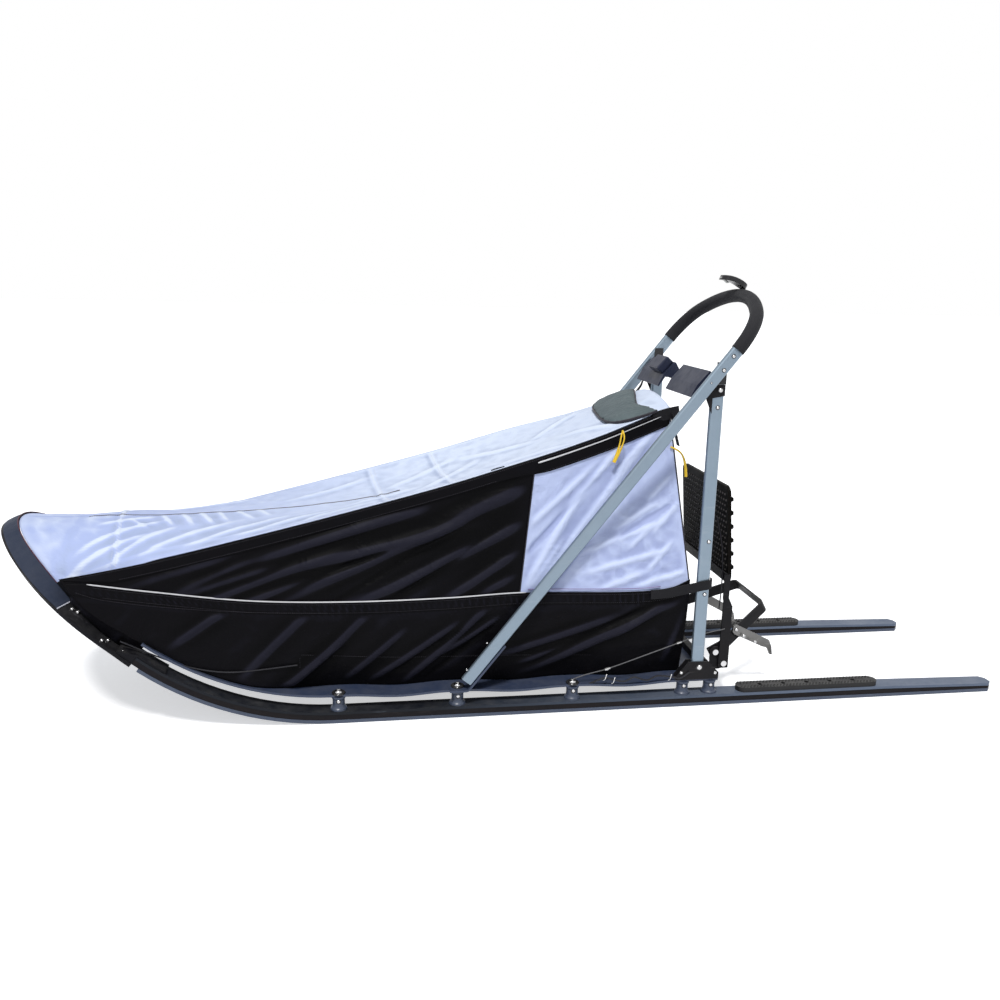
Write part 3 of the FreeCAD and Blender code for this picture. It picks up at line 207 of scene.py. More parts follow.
# creases: folded noise, sharp along its middle value
creasing = {"middle": 0.5, "width": 0.13, "distortion": 0.8}
tree, given, made = newGroup("creases", {"Vector": None, "Scale": 9.0}, {"Height": "Float"})
crumpled = noise(tree, given["Vector"], given["Scale"], 4.0, Distortion=creasing["distortion"])
folded = maths(tree, "ABSOLUTE", maths(tree, "SUBTRACT", crumpled, creasing["middle"]))
tree.links.new(maths(tree, "SUBTRACT", 1.0, rampBetween(tree, folded, 0.0, creasing["width"])),
               made["Height"])


# finishes
def startMaterial(name):
    material = finishes[name] = bpy.data.materials.new(name)
    material.use_nodes = True
    tree = material.node_tree
    tree.nodes.clear()
    shader = put(tree, "ShaderNodeBsdfPrincipled")
    put(tree, "ShaderNodeOutputMaterial", {0: shader.outputs[0]})
    return tree, shader


def placeGroup(tree, name, sockets):
    return put(tree, "ShaderNodeGroup", sockets, node_tree=groups[name]).outputs


def rgba(colour):
    return (*colour, 1.0)


# The colour turns into another one between two x places: the deck's black film, whose long fade is painted
# shade, and the painted shade on the cover's front.
def colourAlong(tree, place, colour, spec):
    x = put(tree, "ShaderNodeSeparateXYZ", {0: place}).outputs[0]
    return mixColours(tree, rampBetween(tree, x, spec["from"], spec["full"]), colour, rgba(spec["colour"]))


hardLook = {"dust": (0.36, 0.35, 0.34), "wornGain": 1.7, "wornLift": 0.05, "scuffRough": 0.25,
            "coatRough": 0.15}
# ridge and valley are the stand ranges over which the painted fold highlight and the painted fold shade come
# in
clothLook = {"dust": (0.4, 0.39, 0.38), "gridShade": 0.6, "vary": 0.07, "sheenRough": 0.4, "most": 0.8,
             "ridge": (0.05, 1.0), "valleyShade": (-0.05, -0.9)}


# Painted, moulded or metal finish: uneven tone, scuffs that show a worn colour, dust and a grain.
def hardFinish(name, base, other, rough=0.4, metal=0.0, tone=0.5, toneScale=9.0, vary=0.1, scuff=0.25,
               worn=None, grain=0.2, grainScale=420.0, grainDepth=0.0003, dust=0.12, sheen=0.0, coat=0.0,
               specular=0.5, filmAndShade=None):
    tree, shader = startMaterial(name)
    place = put(tree, "ShaderNodeTexCoord").outputs["Object"]
    tones = placeGroup(tree, "unevenTone", {"Vector": place, "Scale": toneScale, "Amount": tone,
                                            "Base": rgba(base), "Other": rgba(other)})
    colour = tones["Color"]
    # the film colour: near the front a real black film; its long fade over the middle is painted shade
    if filmAndShade:
        colour = colourAlong(tree, place, colour, filmAndShade)
    scuffs = placeGroup(tree, "scuffs", {"Vector": place, "Amount": scuff})["Mask"]
    bare = worn or [min(1, v * hardLook["wornGain"] + hardLook["wornLift"]) for v in base]
    colour = mixColours(tree, scuffs, colour, rgba(bare))
    settled = placeGroup(tree, "dust", {"Vector": place, "Amount": dust})["Mask"]
    tree.links.new(mixColours(tree, settled, colour, rgba(hardLook["dust"])), shader.inputs["Base Color"])
    uneven = rampBetween(tree, tones["Mask"], 0, 1, rough - vary, rough + vary)
    rubbed = product(tree, scuffs, hardLook["scuffRough"])
    tree.links.new(maths(tree, "ADD", uneven, rubbed, True), shader.inputs["Roughness"])
    pitted = placeGroup(tree, "grain", {"Vector": place, "Scale": grainScale, "Strength": grain,
                                        "Distance": grainDepth})["Normal"]
    tree.links.new(pitted, shader.inputs["Normal"])
    setAll(shader, {"Metallic": metal, "Specular IOR Level": specular, "Sheen Weight": sheen,
                    "Coat Weight": coat, "Coat Roughness": hardLook["coatRough"]})


# Woven cloth: weave along its own UV, soft creases, uneven tone and a little dust. The attribute stand says
# how far a point stands out of the sheet: ridges get a painted highlight and valleys a painted shade.
def clothFinish(name, base, other, rough=0.6, tone=0.5, toneScale=3.0, threads=1400.0, grid=180.0, weave=0.5,
                weaveDepth=0.0002, creases=0.5, creaseScale=9.0, creaseDepth=0.002, sheen=0.1, gridTone=0.1,
                specular=0.4, dust=0.05, ridge=None, valleyShade=None, paintedShadeAlong=None):
    tree, shader = startMaterial(name)
    coords = put(tree, "ShaderNodeTexCoord").outputs
    place = coords["Object"]
    tones = placeGroup(tree, "unevenTone", {"Vector": place, "Scale": toneScale, "Amount": tone,
                                            "Base": rgba(base), "Other": rgba(other)})
    woven = placeGroup(tree, "weave", {"Vector": coords["UV"], "Threads": threads, "Grid": grid})
    shade = rgba([v * clothLook["gridShade"] for v in base])
    colour = mixColours(tree, product(tree, woven["Mask"], gridTone), tones["Color"], shade)
    settled = placeGroup(tree, "dust", {"Vector": place, "Amount": dust})["Mask"]
    colour = mixColours(tree, settled, colour, rgba(clothLook["dust"]))
    # painted shade: the colour turns darker along x, standing in for the shade on the cover's steeper front
    if paintedShadeAlong:
        colour = colourAlong(tree, place, colour, paintedShadeAlong)
    # painted light: the ridge colour is a painted highlight on the folds and the valley colour a painted
    # shade in them
    if ridge:
        stand = put(tree, "ShaderNodeAttribute", attribute_name="stand").outputs["Fac"]
        for reach, paintedLight in ((clothLook["ridge"], ridge), (clothLook["valleyShade"], valleyShade)):
            share = rampBetween(tree, stand, *reach, 0.0, clothLook["most"])
            colour = mixColours(tree, share, colour, rgba(paintedLight))
    tree.links.new(colour, shader.inputs["Base Color"])
    uneven = rampBetween(tree, tones["Mask"], 0, 1, rough - clothLook["vary"], rough + clothLook["vary"])
    tree.links.new(uneven, shader.inputs["Roughness"])
    folds = placeGroup(tree, "creases", {"Vector": place, "Scale": creaseScale})["Height"]
    soft = put(tree, "ShaderNodeBump", {"Strength": creases, "Distance": creaseDepth, "Height": folds})
    fine = put(tree, "ShaderNodeBump", {"Strength": weave, "Distance": weaveDepth, "Height": woven["Height"],
                                        "Normal": soft.outputs[0]})
    tree.links.new(fine.outputs[0], shader.inputs["Normal"])
    setAll(shader, {"Sheen Weight": sheen, "Sheen Roughness": clothLook["sheenRough"],
                    "Specular IOR Level": specular})


hardFinish("shoePlastic", (0.050, 0.068, 0.112), (0.028, 0.038, 0.066), rough=0.42, scuff=0.5,
           worn=(0.13, 0.15, 0.19))
hardFinish("railBlack", (0.010, 0.009, 0.011), (0.022, 0.018, 0.017), rough=0.42, scuff=0.3,
           worn=(0.07, 0.06, 0.06), specular=0.08)
# deck: a black film at the front, and the long fade from the rear up to x 0.25 is painted shade over the
# deck's middle
hardFinish("deckPlastic", (0.115, 0.145, 0.205), (0.085, 0.11, 0.165), rough=0.45, scuff=0.45,
           worn=(0.15, 0.17, 0.21), specular=0.2,
           filmAndShade={"from": -0.75, "full": 0.25, "colour": (0.0035, 0.005, 0.009)})
hardFinish("padRubber", (0.011, 0.011, 0.012), (0.026, 0.024, 0.024), rough=0.62, grain=0.5, grainScale=300,
           dust=0.2, specular=0.3)
hardFinish("riserPlastic", (0.040, 0.054, 0.090), (0.026, 0.035, 0.062), rough=0.42, scuff=0.25)
hardFinish("bedPlastic", (0.030, 0.044, 0.088), (0.018, 0.027, 0.056), rough=0.4, scuff=0.4,
           worn=(0.09, 0.11, 0.15))
hardFinish("tubeAluminium", (0.225, 0.285, 0.345), (0.185, 0.24, 0.30), rough=0.4, metal=0.75, tone=0.35,
           vary=0.06, scuff=0.2, worn=(0.45, 0.49, 0.53), grain=0.08, grainScale=900, dust=0.04)
hardFinish("bowPlastic", (0.006, 0.006, 0.008), (0.014, 0.014, 0.017), rough=0.4, scuff=0.5,
           worn=(0.06, 0.06, 0.07), specular=0.08)
hardFinish("blackSteel", (0.008, 0.008, 0.010), (0.018, 0.016, 0.016), rough=0.42, scuff=0.45,
           worn=(0.10, 0.09, 0.085), grain=0.35, grainScale=260, specular=0.12)
hardFinish("gripFoam", (0.018, 0.018, 0.021), (0.028, 0.028, 0.031), rough=0.85, vary=0.05, scuff=0.08,
           grain=0.8, grainScale=650, grainDepth=0.0006, dust=0.04, sheen=0.06, specular=0.15)
hardFinish("blackPlastic", (0.008, 0.008, 0.010), (0.016, 0.016, 0.018), rough=0.28, scuff=0.25, coat=0.15,
           specular=0.3)
hardFinish("dashPlastic", (0.020, 0.025, 0.050), (0.013, 0.016, 0.032), rough=0.46, specular=0.2, scuff=0.3,
           dust=0.05, worn=(0.12, 0.13, 0.16))
hardFinish("brightSteel", (0.62, 0.62, 0.63), (0.48, 0.47, 0.46), rough=0.24, metal=1.0, scuff=0.2,
           grain=0.1, dust=0.0)
hardFinish("clawAluminium", (0.19, 0.187, 0.183), (0.13, 0.127, 0.124), rough=0.38, metal=0.85, scuff=0.5,
           worn=(0.45, 0.44, 0.43), grain=0.25, grainScale=380)
hardFinish("matRubber", (0.0035, 0.003, 0.0027), (0.008, 0.0065, 0.0055), rough=0.6, scuff=0.3,
           worn=(0.05, 0.045, 0.04), grain=0.5, grainScale=220, dust=0.012, specular=0.04)
hardFinish("wornRubber", (0.05, 0.045, 0.042), (0.10, 0.09, 0.085), rough=0.5, scuff=0.4,
           worn=(0.2, 0.19, 0.18), specular=0.3)
hardFinish("paleInsert", (0.50, 0.51, 0.47), (0.36, 0.37, 0.35), rough=0.35, scuff=0.3, coat=0.2)
clothFinish("sleeveCloth", (0.032, 0.041, 0.068), (0.021, 0.028, 0.050), rough=0.62, threads=700, grid=60,
            weave=0.5, creases=0.25, creaseScale=22, creaseDepth=0.0012, sheen=0.05, specular=0.1)
# ridge and valley: painted highlight on the fold crests and painted shade in the fold valleys
clothFinish("blackCloth", (0.0024, 0.0023, 0.0034), (0.0050, 0.0045, 0.0056), rough=0.52, threads=900,
            grid=150, weave=0.35, creases=0.5, creaseScale=7.0, creaseDepth=0.004, sheen=0.01, gridTone=0.0,
            specular=0.05, ridge=(0.0175, 0.0175, 0.028), valleyShade=(0.0007, 0.0007, 0.001), dust=0.01)
# ridge and valley: painted fold highlight and painted fold shade
clothFinish("coverCloth", (0.69, 0.77, 0.93), (0.62, 0.70, 0.89), rough=0.55, tone=0.4, threads=1100,
            grid=190, creases=0.45, creaseScale=6.0, creaseDepth=0.004, gridTone=0.05, sheen=0.05,
            specular=0.3, ridge=(0.76, 0.83, 0.96), valleyShade=(0.36, 0.43, 0.61),
            # the colour along x is painted shade, darker and bluer towards the front
            paintedShadeAlong={"from": 0.2, "full": 1.0, "colour": (0.42, 0.50, 0.78)})
# ridge and valley: painted fold highlight and painted fold shade
clothFinish("windowCloth", (0.50, 0.575, 0.83), (0.44, 0.51, 0.77), rough=0.55, tone=0.4, threads=1100,
            grid=190, creases=0.55, creaseScale=7.0, creaseDepth=0.004, gridTone=0.05, sheen=0.05,
            specular=0.3, ridge=(0.62, 0.70, 0.94), valleyShade=(0.33, 0.385, 0.63))
clothFinish("flapCloth", (0.110, 0.142, 0.150), (0.070, 0.092, 0.100), rough=0.75, specular=0.2, threads=500,
            grid=90, weave=0.8, creases=0.5, creaseScale=20, creaseDepth=0.002, sheen=0.08, tone=0.7,
            toneScale=14)
clothFinish("blackWebbing", (0.007, 0.007, 0.009), (0.013, 0.013, 0.015), rough=0.6, threads=420, grid=70,
            weave=0.9, creases=0.2, sheen=0.03, specular=0.15)
clothFinish("silverPiping", (0.62, 0.62, 0.64), (0.46, 0.46, 0.49), rough=0.3, threads=300, grid=40,
            weave=0.3, creases=0.1, sheen=0.0, specular=0.7)
clothFinish("seamDark", (0.024, 0.022, 0.030), (0.042, 0.038, 0.048), rough=0.6, threads=500, grid=90,
            specular=0.2)
clothFinish("seamPlum", (0.23, 0.19, 0.36), (0.17, 0.13, 0.27), rough=0.6, threads=500, grid=90)
clothFinish("seamRed", (0.085, 0.018, 0.030), (0.055, 0.014, 0.024), rough=0.6, threads=500, grid=90,
            specular=0.2)
clothFinish("elasticCord", (0.012, 0.012, 0.016), (0.030, 0.030, 0.036), rough=0.5, threads=300, grid=60,
            specular=0.25)
clothFinish("yellowCord", (0.90, 0.60, 0.03), (0.74, 0.46, 0.02), rough=0.55, threads=400, grid=80, weave=0.8)
clothFinish("whiteThread", (0.66, 0.67, 0.74), (0.52, 0.53, 0.62), rough=0.6, threads=900, grid=90)
clothFinish("greyCord", (0.12, 0.12, 0.125), (0.06, 0.06, 0.065), rough=0.5, threads=500, grid=90, weave=0.7)
print("finishes ready:", len(finishes))

# the CAD nodes that show keep their meshes and get a finish
nodeFinishes = {
    "shoePlastic": ["runner_shoe_left", "runner_shoe_right"],
    "railBlack": ["runner_rail_left", "runner_rail_right"],
    "deckPlastic": ["runner_deck_left", "runner_deck_right"],
    "padRubber": ["foot_pads"],
    "riserPlastic": ["risers"],
    "bedPlastic": ["bed_sheet", "strut_foot_straps"],
    "bowPlastic": ["bow_hoop", "bow_clamps"],
    "tubeAluminium": ["cross_bars", "strut_left", "strut_right", "upright_left", "upright_right",
                      "handle_tube"],
    "blackSteel": ["upright_foot_brackets", "top_brackets", "dash_bar", "rear_bar", "hinge_plates",
                   "brake_loop", "mat_frame"],
    "blackPlastic": ["handle_plate", "dash_straps"],
    "dashPlastic": ["dash_plates", "dash_block"],
    "brightSteel": ["hinge_pins"],
    "clawAluminium": ["brake_claws"],
    "matRubber": ["drag_mat"]}
for finish, names in nodeFinishes.items():
    for name in names:
        for holder in nodes[name].material_slots:
            holder.material = finishes[finish]


# mesh helpers
# Millimetres in the drawing's frame to metres in the scene.
def inFrame(points):
    return (np.asarray(points, float) + np.array((forwardShift, 0.0, 0.0))) / 1000.0


# Quads over a grid of points stored row by row; wrap closes each row on itself.
def gridQuads(rows, columns, wrap=False):
    r = np.arange(rows - 1)[:, None]
    c = np.arange(columns if wrap else columns - 1)[None, :]
    nextColumn = (c + 1) % columns
    quads = np.stack([r * columns + c, r * columns + nextColumn, (r + 1) * columns + nextColumn,
                      (r + 1) * columns + c], -1)
    return quads.reshape(-1, 4)


# A closed profile, given across and up, carried along a path; both ends get a flat cap.
def carry(path, profile, across, scale=None):
    path = np.asarray(path, float)
    profile = np.asarray(profile, float)
    run = np.gradient(path, axis=0)
    run /= np.linalg.norm(run, axis=1, keepdims=True)
    across = np.broadcast_to(np.asarray(across, float), path.shape)
    side = across - run * np.sum(run * across, axis=1, keepdims=True)
    side /= np.linalg.norm(side, axis=1, keepdims=True)
    lift = np.cross(run, side)
    scale = np.ones(len(path)) if scale is None else np.asarray(scale, float)
    points = path[:, None, :] + scale[:, None, None] * (profile[None, :, :1] * side[:, None, :]
                                                        + profile[None, :, 1:] * lift[:, None, :])
    count = len(profile)
    caps = [np.arange(count)[::-1], np.arange(count) + (len(path) - 1) * count]
    return points.reshape(-1, 3), gridQuads(len(path), count, True), caps


# A round section, or an oval one where flat isn't 1.
def circle(radius, sides=10, flat=1.0):
    turn = np.linspace(0, 2 * np.pi, sides, endpoint=False)
    return np.stack([radius * np.cos(turn), radius * flat * np.sin(turn)], -1)


# Flat bar section with cut corners, width across and thick up.
def roundedBar(width, thick, corner=0.35):
    c = min(width, thick) * corner
    w, t = width / 2, thick / 2
    return np.array([(w, -t + c), (w, t - c), (w - c, t), (-w + c, t), (-w, t - c), (-w, -t + c),
                     (-w + c, -t), (w - c, -t)])


# A profile of radius and height turned round each axis at each place; ends are capped.
def turned(profile, places, axes, sides=20):
    places = np.atleast_2d(np.asarray(places, float))
    axes = np.broadcast_to(np.asarray(axes, float), places.shape)
    axes = axes / np.linalg.norm(axes, axis=1, keepdims=True)
    helper = np.where(np.abs(axes[:, :1]) > 0.8, np.array([[0.0, 1.0, 0.0]]), np.array([[1.0, 0.0, 0.0]]))
    first = np.cross(axes, helper)
    first /= np.linalg.norm(first, axis=1, keepdims=True)
    second = np.cross(axes, first)
    turn = np.linspace(0, 2 * np.pi, sides, endpoint=False)
    ring = np.cos(turn)[None, :, None] * first[:, None, :] + np.sin(turn)[None, :, None] * second[:, None, :]
    profile = np.asarray(profile, float)
    points = (places[:, None, None, :] + profile[None, :, None, :1] * ring[:, None, :, :]
              + profile[None, :, None, 1:] * axes[:, None, None, :])
    each = len(profile) * sides
    quads = (gridQuads(len(profile), sides, True)[None]
             + (np.arange(len(places)) * each)[:, None, None]).reshape(-1, 4)
    caps = [row for k in range(len(places))
            for row in (np.arange(sides)[::-1] + k * each, np.arange(sides) + each - sides + k * each)]
    return points.reshape(-1, 3), quads, caps


# Several parts as one, with the later ones' numbers moved on.
def join(parts):
    points, quads, caps, base = [], [], [], 0
    for p, q, c in parts:
        points.append(p)
        quads.append(q + base)
        caps += [row + base for row in c]
        base += len(p)
    return np.concatenate(points), np.concatenate(quads), caps


# The same part on the other side, with its faces turned back outwards.
def flipY(part):
    points, quads, caps = part
    return points * np.array((1, -1, 1)), quads[:, ::-1], [row[::-1] for row in caps]


# A part and its mirror image as one.
def bothSides(part):
    return join([part, flipY(part)])


leanUv = 0.6  # how much of y is added to x where a part has no UV of its own


# Each corner of each face gets its point's place on the cloth.
def setUv(mesh, places):
    corners = np.empty(len(mesh.loops), np.int32)
    mesh.loops.foreach_get("vertex_index", corners)
    mesh.uv_layers.new(name="cloth").data.foreach_set("uv", places[corners].ravel())


# A part as an object, with a UV in metres, its finish and slot; solid gives a sheet its wall, inwards.
def addMesh(name, part, finish, body="sled", uv=None, sharp=40, solid=None):
    points, quads, caps = part
    mesh = bpy.data.meshes.new(name)
    mesh.from_pydata(inFrame(points).tolist(), [], quads.tolist() + [row.tolist() for row in caps])
    if uv is None:
        uv = np.stack([points[:, 0] + points[:, 1] * leanUv, points[:, 2]], -1) / 1000.0
    setUv(mesh, uv.reshape(-1, 2))
    mesh.shade_smooth()
    mesh.set_sharp_from_angle(angle=math.radians(sharp))
    mesh.materials.append(finishes[finish])
    thing = bpy.data.objects.new(name, mesh)
    scene.collection.objects.link(thing)
    if solid:
        wall = thing.modifiers.new("wall", "SOLIDIFY")
        wall.thickness = solid
        wall.offset = -1
        wall.use_even_offset = True
    if body:
        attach(thing, body)
    return thing


# Smooth curve through a table's points, with slopes taken from the neighbours.
def along(table, x):
    rows = np.array(sorted(table))
    xs, vs = rows[:, 0], rows[:, 1]
    x = np.clip(np.asarray(x, float), xs[0], xs[-1])
    before = np.maximum(np.arange(len(xs)) - 1, 0)
    after = np.minimum(np.arange(len(xs)) + 1, len(xs) - 1)
    slopes = (vs[after] - vs[before]) / (xs[after] - xs[before])
    i = np.clip(np.searchsorted(xs, x, side="right") - 1, 0, len(xs) - 2)
    step = xs[i + 1] - xs[i]
    t = (x - xs[i]) / step
    return ((2 * t ** 3 - 3 * t ** 2 + 1) * vs[i] + (t ** 3 - 2 * t ** 2 + t) * step * slopes[i]
            + (3 * t ** 2 - 2 * t ** 3) * vs[i + 1] + (t ** 3 - t ** 2) * step * slopes[i + 1])


# Evenly spread points on a smooth curve through the given ones.
def curveThrough(points, count):
    points = np.asarray(points, float)
    run = np.r_[0, np.cumsum(np.linalg.norm(np.diff(points, axis=0), axis=1))]
    s = np.linspace(0, run[-1], count)
    return np.stack([along(np.stack([run, points[:, k]], -1).tolist(), s) for k in range(3)], -1)


# 0 to 1 along a smooth step: three squares less two cubes.
def ease(t):
    t = np.clip(t, 0, 1)
    return t * t * (3 - 2 * t)


# 1 on a line, falling off to each side as a bell.
def bell(distance, width):
    return np.exp(-(distance / width) ** 2)


fold = {"slim": 0.85, "overrun": 0.35, "run": 0.6}


# Soft folds: each row is x1, z1, x2, z2, width, height; a bell across, eased in and out along.
def ridges(p, q, rows):
    total = np.zeros_like(p)
    for x1, z1, x2, z2, width, height in rows:
        dx, dz = x2 - x1, z2 - z1
        length = math.hypot(dx, dz)
        s = ((p - x1) * dx + (q - z1) * dz) / length ** 2
        off = ((p - x1) * dz - (q - z1) * dx) / length
        ends = ease((s + fold["overrun"]) / fold["run"]), ease((1 + fold["overrun"] - s) / fold["run"])
        total += height * bell(off, fold["slim"] * width) * ends[0] * ends[1]
    return total


crease = {"sizes": (0.6, 1.8), "bend": 1.3, "bendScale": 1.7}


# Sharp small creases: a sum of folded sine waves in random directions, 0 to 1.
def crumple(p, q, size, count, seed):
    draw = np.random.default_rng(seed)
    total = np.zeros_like(p)
    for k in range(count):
        angle = draw.uniform(0, np.pi)
        length = size * draw.uniform(*crease["sizes"])
        bend = draw.uniform(0, 6.28, 2)
        wave = (p * math.cos(angle) + q * math.sin(angle)) / length * fullTurn
        cross = (q * math.cos(angle) - p * math.sin(angle)) / (length * crease["bendScale"]) * fullTurn
        wave = wave + crease["bend"] * np.sin(cross + bend[0])
        total += (1 - np.abs(np.sin(wave * 0.5 + bend[1]))) ** 2
    return total / count


# Creases of a given height, size and number.
def creased(p, q, spec, seed):
    height, size, count = spec
    return height * crumple(p, q, size, count, seed)


# Unit normals of a grid of points, from its two directions.
def normalsOf(grid):
    n = np.cross(np.gradient(grid, axis=0), np.gradient(grid, axis=1))
    return n / np.maximum(np.linalg.norm(n, axis=-1, keepdims=True), 1e-9)


# Quads turned so that the sheet's faces look the given way.
def facing(grid, quads, outward):
    flat = grid.reshape(-1, 3)
    a, b, d = flat[quads[:, 0]], flat[quads[:, 1]], flat[quads[:, 3]]
    n = np.cross(b - a, d - a).sum(axis=0)
    return quads if n @ np.asarray(outward, float) > 0 else quads[:, ::-1]


# Lengths along the rows and columns of a grid, in metres, as its UV.
def gridUv(grid):
    u = np.cumsum(np.r_[np.zeros((1, grid.shape[1])), np.linalg.norm(np.diff(grid, axis=0), axis=-1)], axis=0)
    v = np.cumsum(np.c_[np.zeros(grid.shape[0]), np.linalg.norm(np.diff(grid, axis=1), axis=-1)], axis=1)
    return np.stack([u.mean(axis=1, keepdims=True) + u * 0, v], -1) / 1000.0


# Mean of a grid over a length of reach mm each way along one axis; beyond its ends the grid is mirrored.
def runningMean(grid, axis, reach):
    count = grid.shape[axis]
    step = np.linalg.norm(np.diff(grid, axis=axis), axis=-1).mean()
    half = int(min(max(round(reach / step), 1), count // 2 - 2))
    border = [(0, 0)] * 3
    border[axis] = (half + 1, half)
    total = np.cumsum(np.pad(grid, border, mode="reflect", reflect_type="odd"), axis=axis)
    upper = np.take(total, np.arange(count) + 2 * half + 1, axis)
    return (upper - np.take(total, np.arange(count), axis)) / (2 * half + 1)


# How far each point stands out of the sheet's own mean shape, in parts of scale mm.
def standOf(grid, outward, reach=24.0, scale=2.2):
    smooth = runningMean(runningMean(grid, 0, reach), 1, reach)
    n = normalsOf(smooth)
    n = n * np.sign((n @ np.asarray(outward, float)).mean())
    return ((grid - smooth) * n).sum(axis=-1) / scale


sheetWall = 0.002


# A grid as a sheet of cloth: its flat size is the longest run along and across it.
def addSheet(name, grid, finish, outward, replaced=()):
    quads = facing(grid, gridQuads(*grid.shape[:2]), outward)
    thing = addMesh(name, (grid.reshape(-1, 3), quads, []), finish, uv=gridUv(grid), sharp=70,
                    solid=sheetWall)
    # stand drives the painted fold highlight and painted fold shade of the cloth finishes
    stand = thing.data.attributes.new("stand", "FLOAT", "POINT")
    stand.data.foreach_set("value", standOf(grid, outward).astype(np.float32).ravel())
    if replaced:
        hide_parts(*replaced)


# shape of the bag: heights and half widths against x
bag = {
    "top": [(1136, 388), (924, 428), (692, 483), (454, 543), (210, 608), (12, 667), (-171, 720), (-281, 758),
            (-363, 788)],
    "topHalf": [(1136, 228), (1040, 234), (12, 233), (-171, 202), (-281, 178), (-363, 164)],
    "belly": [(1136, 233), (1040, 238), (800, 240), (12, 240), (-200, 236), (-426, 228)],
    "pipe": [(1080, 378), (928, 355), (697, 325), (457, 315), (208, 318), (22, 326), (-290, 317.5),
             (-380, 326), (-425, 345)],
    "crown": [(1136, 84), (1040, 76), (840, 40), (700, 12), (580, -8), (455, -26), (300, -38), (100, -34),
              (-50, -16), (-200, 10), (-363, 24)],
    "cloth": 2.5, "lap": 3.1, "footHalf": 185.0, "footSpread": 238.0, "footBlend": 220.0, "rear": -426.0,
    "topRear": -363.0, "front": 1136.0, "bulge": 30.0, "bulgeFade": 8.0, "pocketLap": 14.0, "gap": 0.6}
bed = {"low": 65.0, "thick": 6.0, "bendX": 505.0, "radius": 725.0, "endDeg": 37.9, "gap": 0.9, "seat": 6.6,
       "sag": 7.0, "risers": [489.0, 186.0, -118.0, -421.0, -496.0], "inset": 22.0}


# Underside of the bed: flat over each riser and a squared sine between them.
def bedLow(x):
    x = np.asarray(x, float)
    z = np.full_like(x, bed["low"])
    for front, rear in zip(bed["risers"][:3], bed["risers"][1:4]):
        t = np.clip((front - bed["inset"] - x) / (front - rear - 2 * bed["inset"]), 0, 1)
        z = z - bed["sag"] * np.sin(np.pi * t) ** 2
    return z


# Height of the bag's foot, on the bed and along its turned-up end.
def footZ(x):
    x = np.asarray(x, float)
    r = bed["radius"] - bed["thick"] - bed["gap"]
    bent = bed["low"] + bed["radius"] - np.sqrt(np.maximum(r ** 2 - np.maximum(x - bed["bendX"], 0) ** 2, 0))
    return np.where(x <= bed["bendX"], bedLow(x) + bed["thick"] + bed["gap"], bent)


# Half width of the foot: even on the bed, spreading by a smooth step where the bed turns up.
def footHalf(x):
    spread = ease((np.asarray(x, float) - bed["bendX"]) / bag["footBlend"])
    return bag["footHalf"] + (bag["footSpread"] - bag["footHalf"]) * spread


# Half width of the bag: a quarter sine up to the piping, then straight to the top edge.
def sideY(x, z):
    low, pipe, top = footZ(np.minimum(x, frontLow[0])), along(bag["pipe"], x), along(bag["top"], x)
    belly = along(bag["belly"], x)
    t = np.clip((z - low) / np.maximum(pipe - low, 1), 0, 1)
    lower = footHalf(x) + (belly - footHalf(x)) * np.sin(t * np.pi / 2)
    s = np.clip((z - pipe) / np.maximum(top - pipe, 1), 0, 1)
    return np.where(z <= pipe, lower, belly + (along(bag["topHalf"], x) - belly) * s)


endArc = math.radians(bed["endDeg"])
frontLow = (bed["bendX"] + (bed["radius"] - bed["seat"]) * math.sin(endArc),
            bed["low"] + bed["radius"] - (bed["radius"] - bed["seat"]) * math.cos(endArc))


# The front edge is straight from the bed's end to the bag's top corner.
def frontX(z):
    t = (z - frontLow[1]) / (bag["top"][0][1] - frontLow[1])
    return frontLow[0] + (bag["front"] - frontLow[0]) * t


# Where the front edge crosses the line that runs drop below the piping, found by repetition.
def meetFront(drop):
    x = bag["front"]
    for _ in range(30):
        x = float(frontX(along(bag["pipe"], x) - drop))
    return x


# Side panel: rows run rearward, columns upward; push moves it in from the outer face.
def sideGrid(corners, rows, columns, push):
    a, b = np.meshgrid(np.linspace(0, 1, rows), np.linspace(0, 1, columns), indexing="ij")
    x, z = corners(a, b)
    return np.stack([x, sideY(x, z) - push, z], -1)


# The pocket between bed and piping: straight lines from foot to piping, with a bulge near the front.
def pocketCorners(a, b):
    topX = meetFront(0) + (bag["rear"] - meetFront(0)) * a
    lowX = frontLow[0] + (bag["rear"] - frontLow[0]) * a
    lowZ, topZ = footZ(lowX), along(bag["pipe"], topX)
    bulge = bag["bulge"] * np.sin(np.pi * b) * (1 - a) ** bag["bulgeFade"]
    return lowX + (topX - lowX) * b + bulge, lowZ + (topZ - lowZ) * b


# A panel between piping and top edge; front and rear each give x at its lower and at its upper corner.
def panelCorners(front, rear):
    def corners(a, b):
        lowX = front[0] + (rear[0] - front[0]) * a
        highX = front[1] + (rear[1] - front[1]) * a
        lowZ = along(bag["pipe"], lowX) - bag["pocketLap"]
        return lowX + (highX - lowX) * b, lowZ + (along(bag["top"], highX) - bag["gap"] - lowZ) * b
    return corners


# 1 in the middle of a grid and 0 at its border, so that neighbours still meet.
def edgeFade(rows, columns, share=0.06):
    a = np.linspace(0, 1, rows)[:, None]
    b = np.linspace(0, 1, columns)[None, :]
    acrossShare = share * 2.2
    return ease(np.minimum(a, 1 - a) / share) * ease(np.minimum(b, 1 - b) / acrossShare)


# A grid moved along its own normals, outwards or, on a flat sheet, upwards.
def pushOut(grid, height):
    n = normalsOf(grid)
    sideways, upright = n[..., 1].mean(), n[..., 2].mean()
    n = n * np.sign(sideways if abs(sideways) > abs(upright) else upright)
    return grid + n * height[..., None]


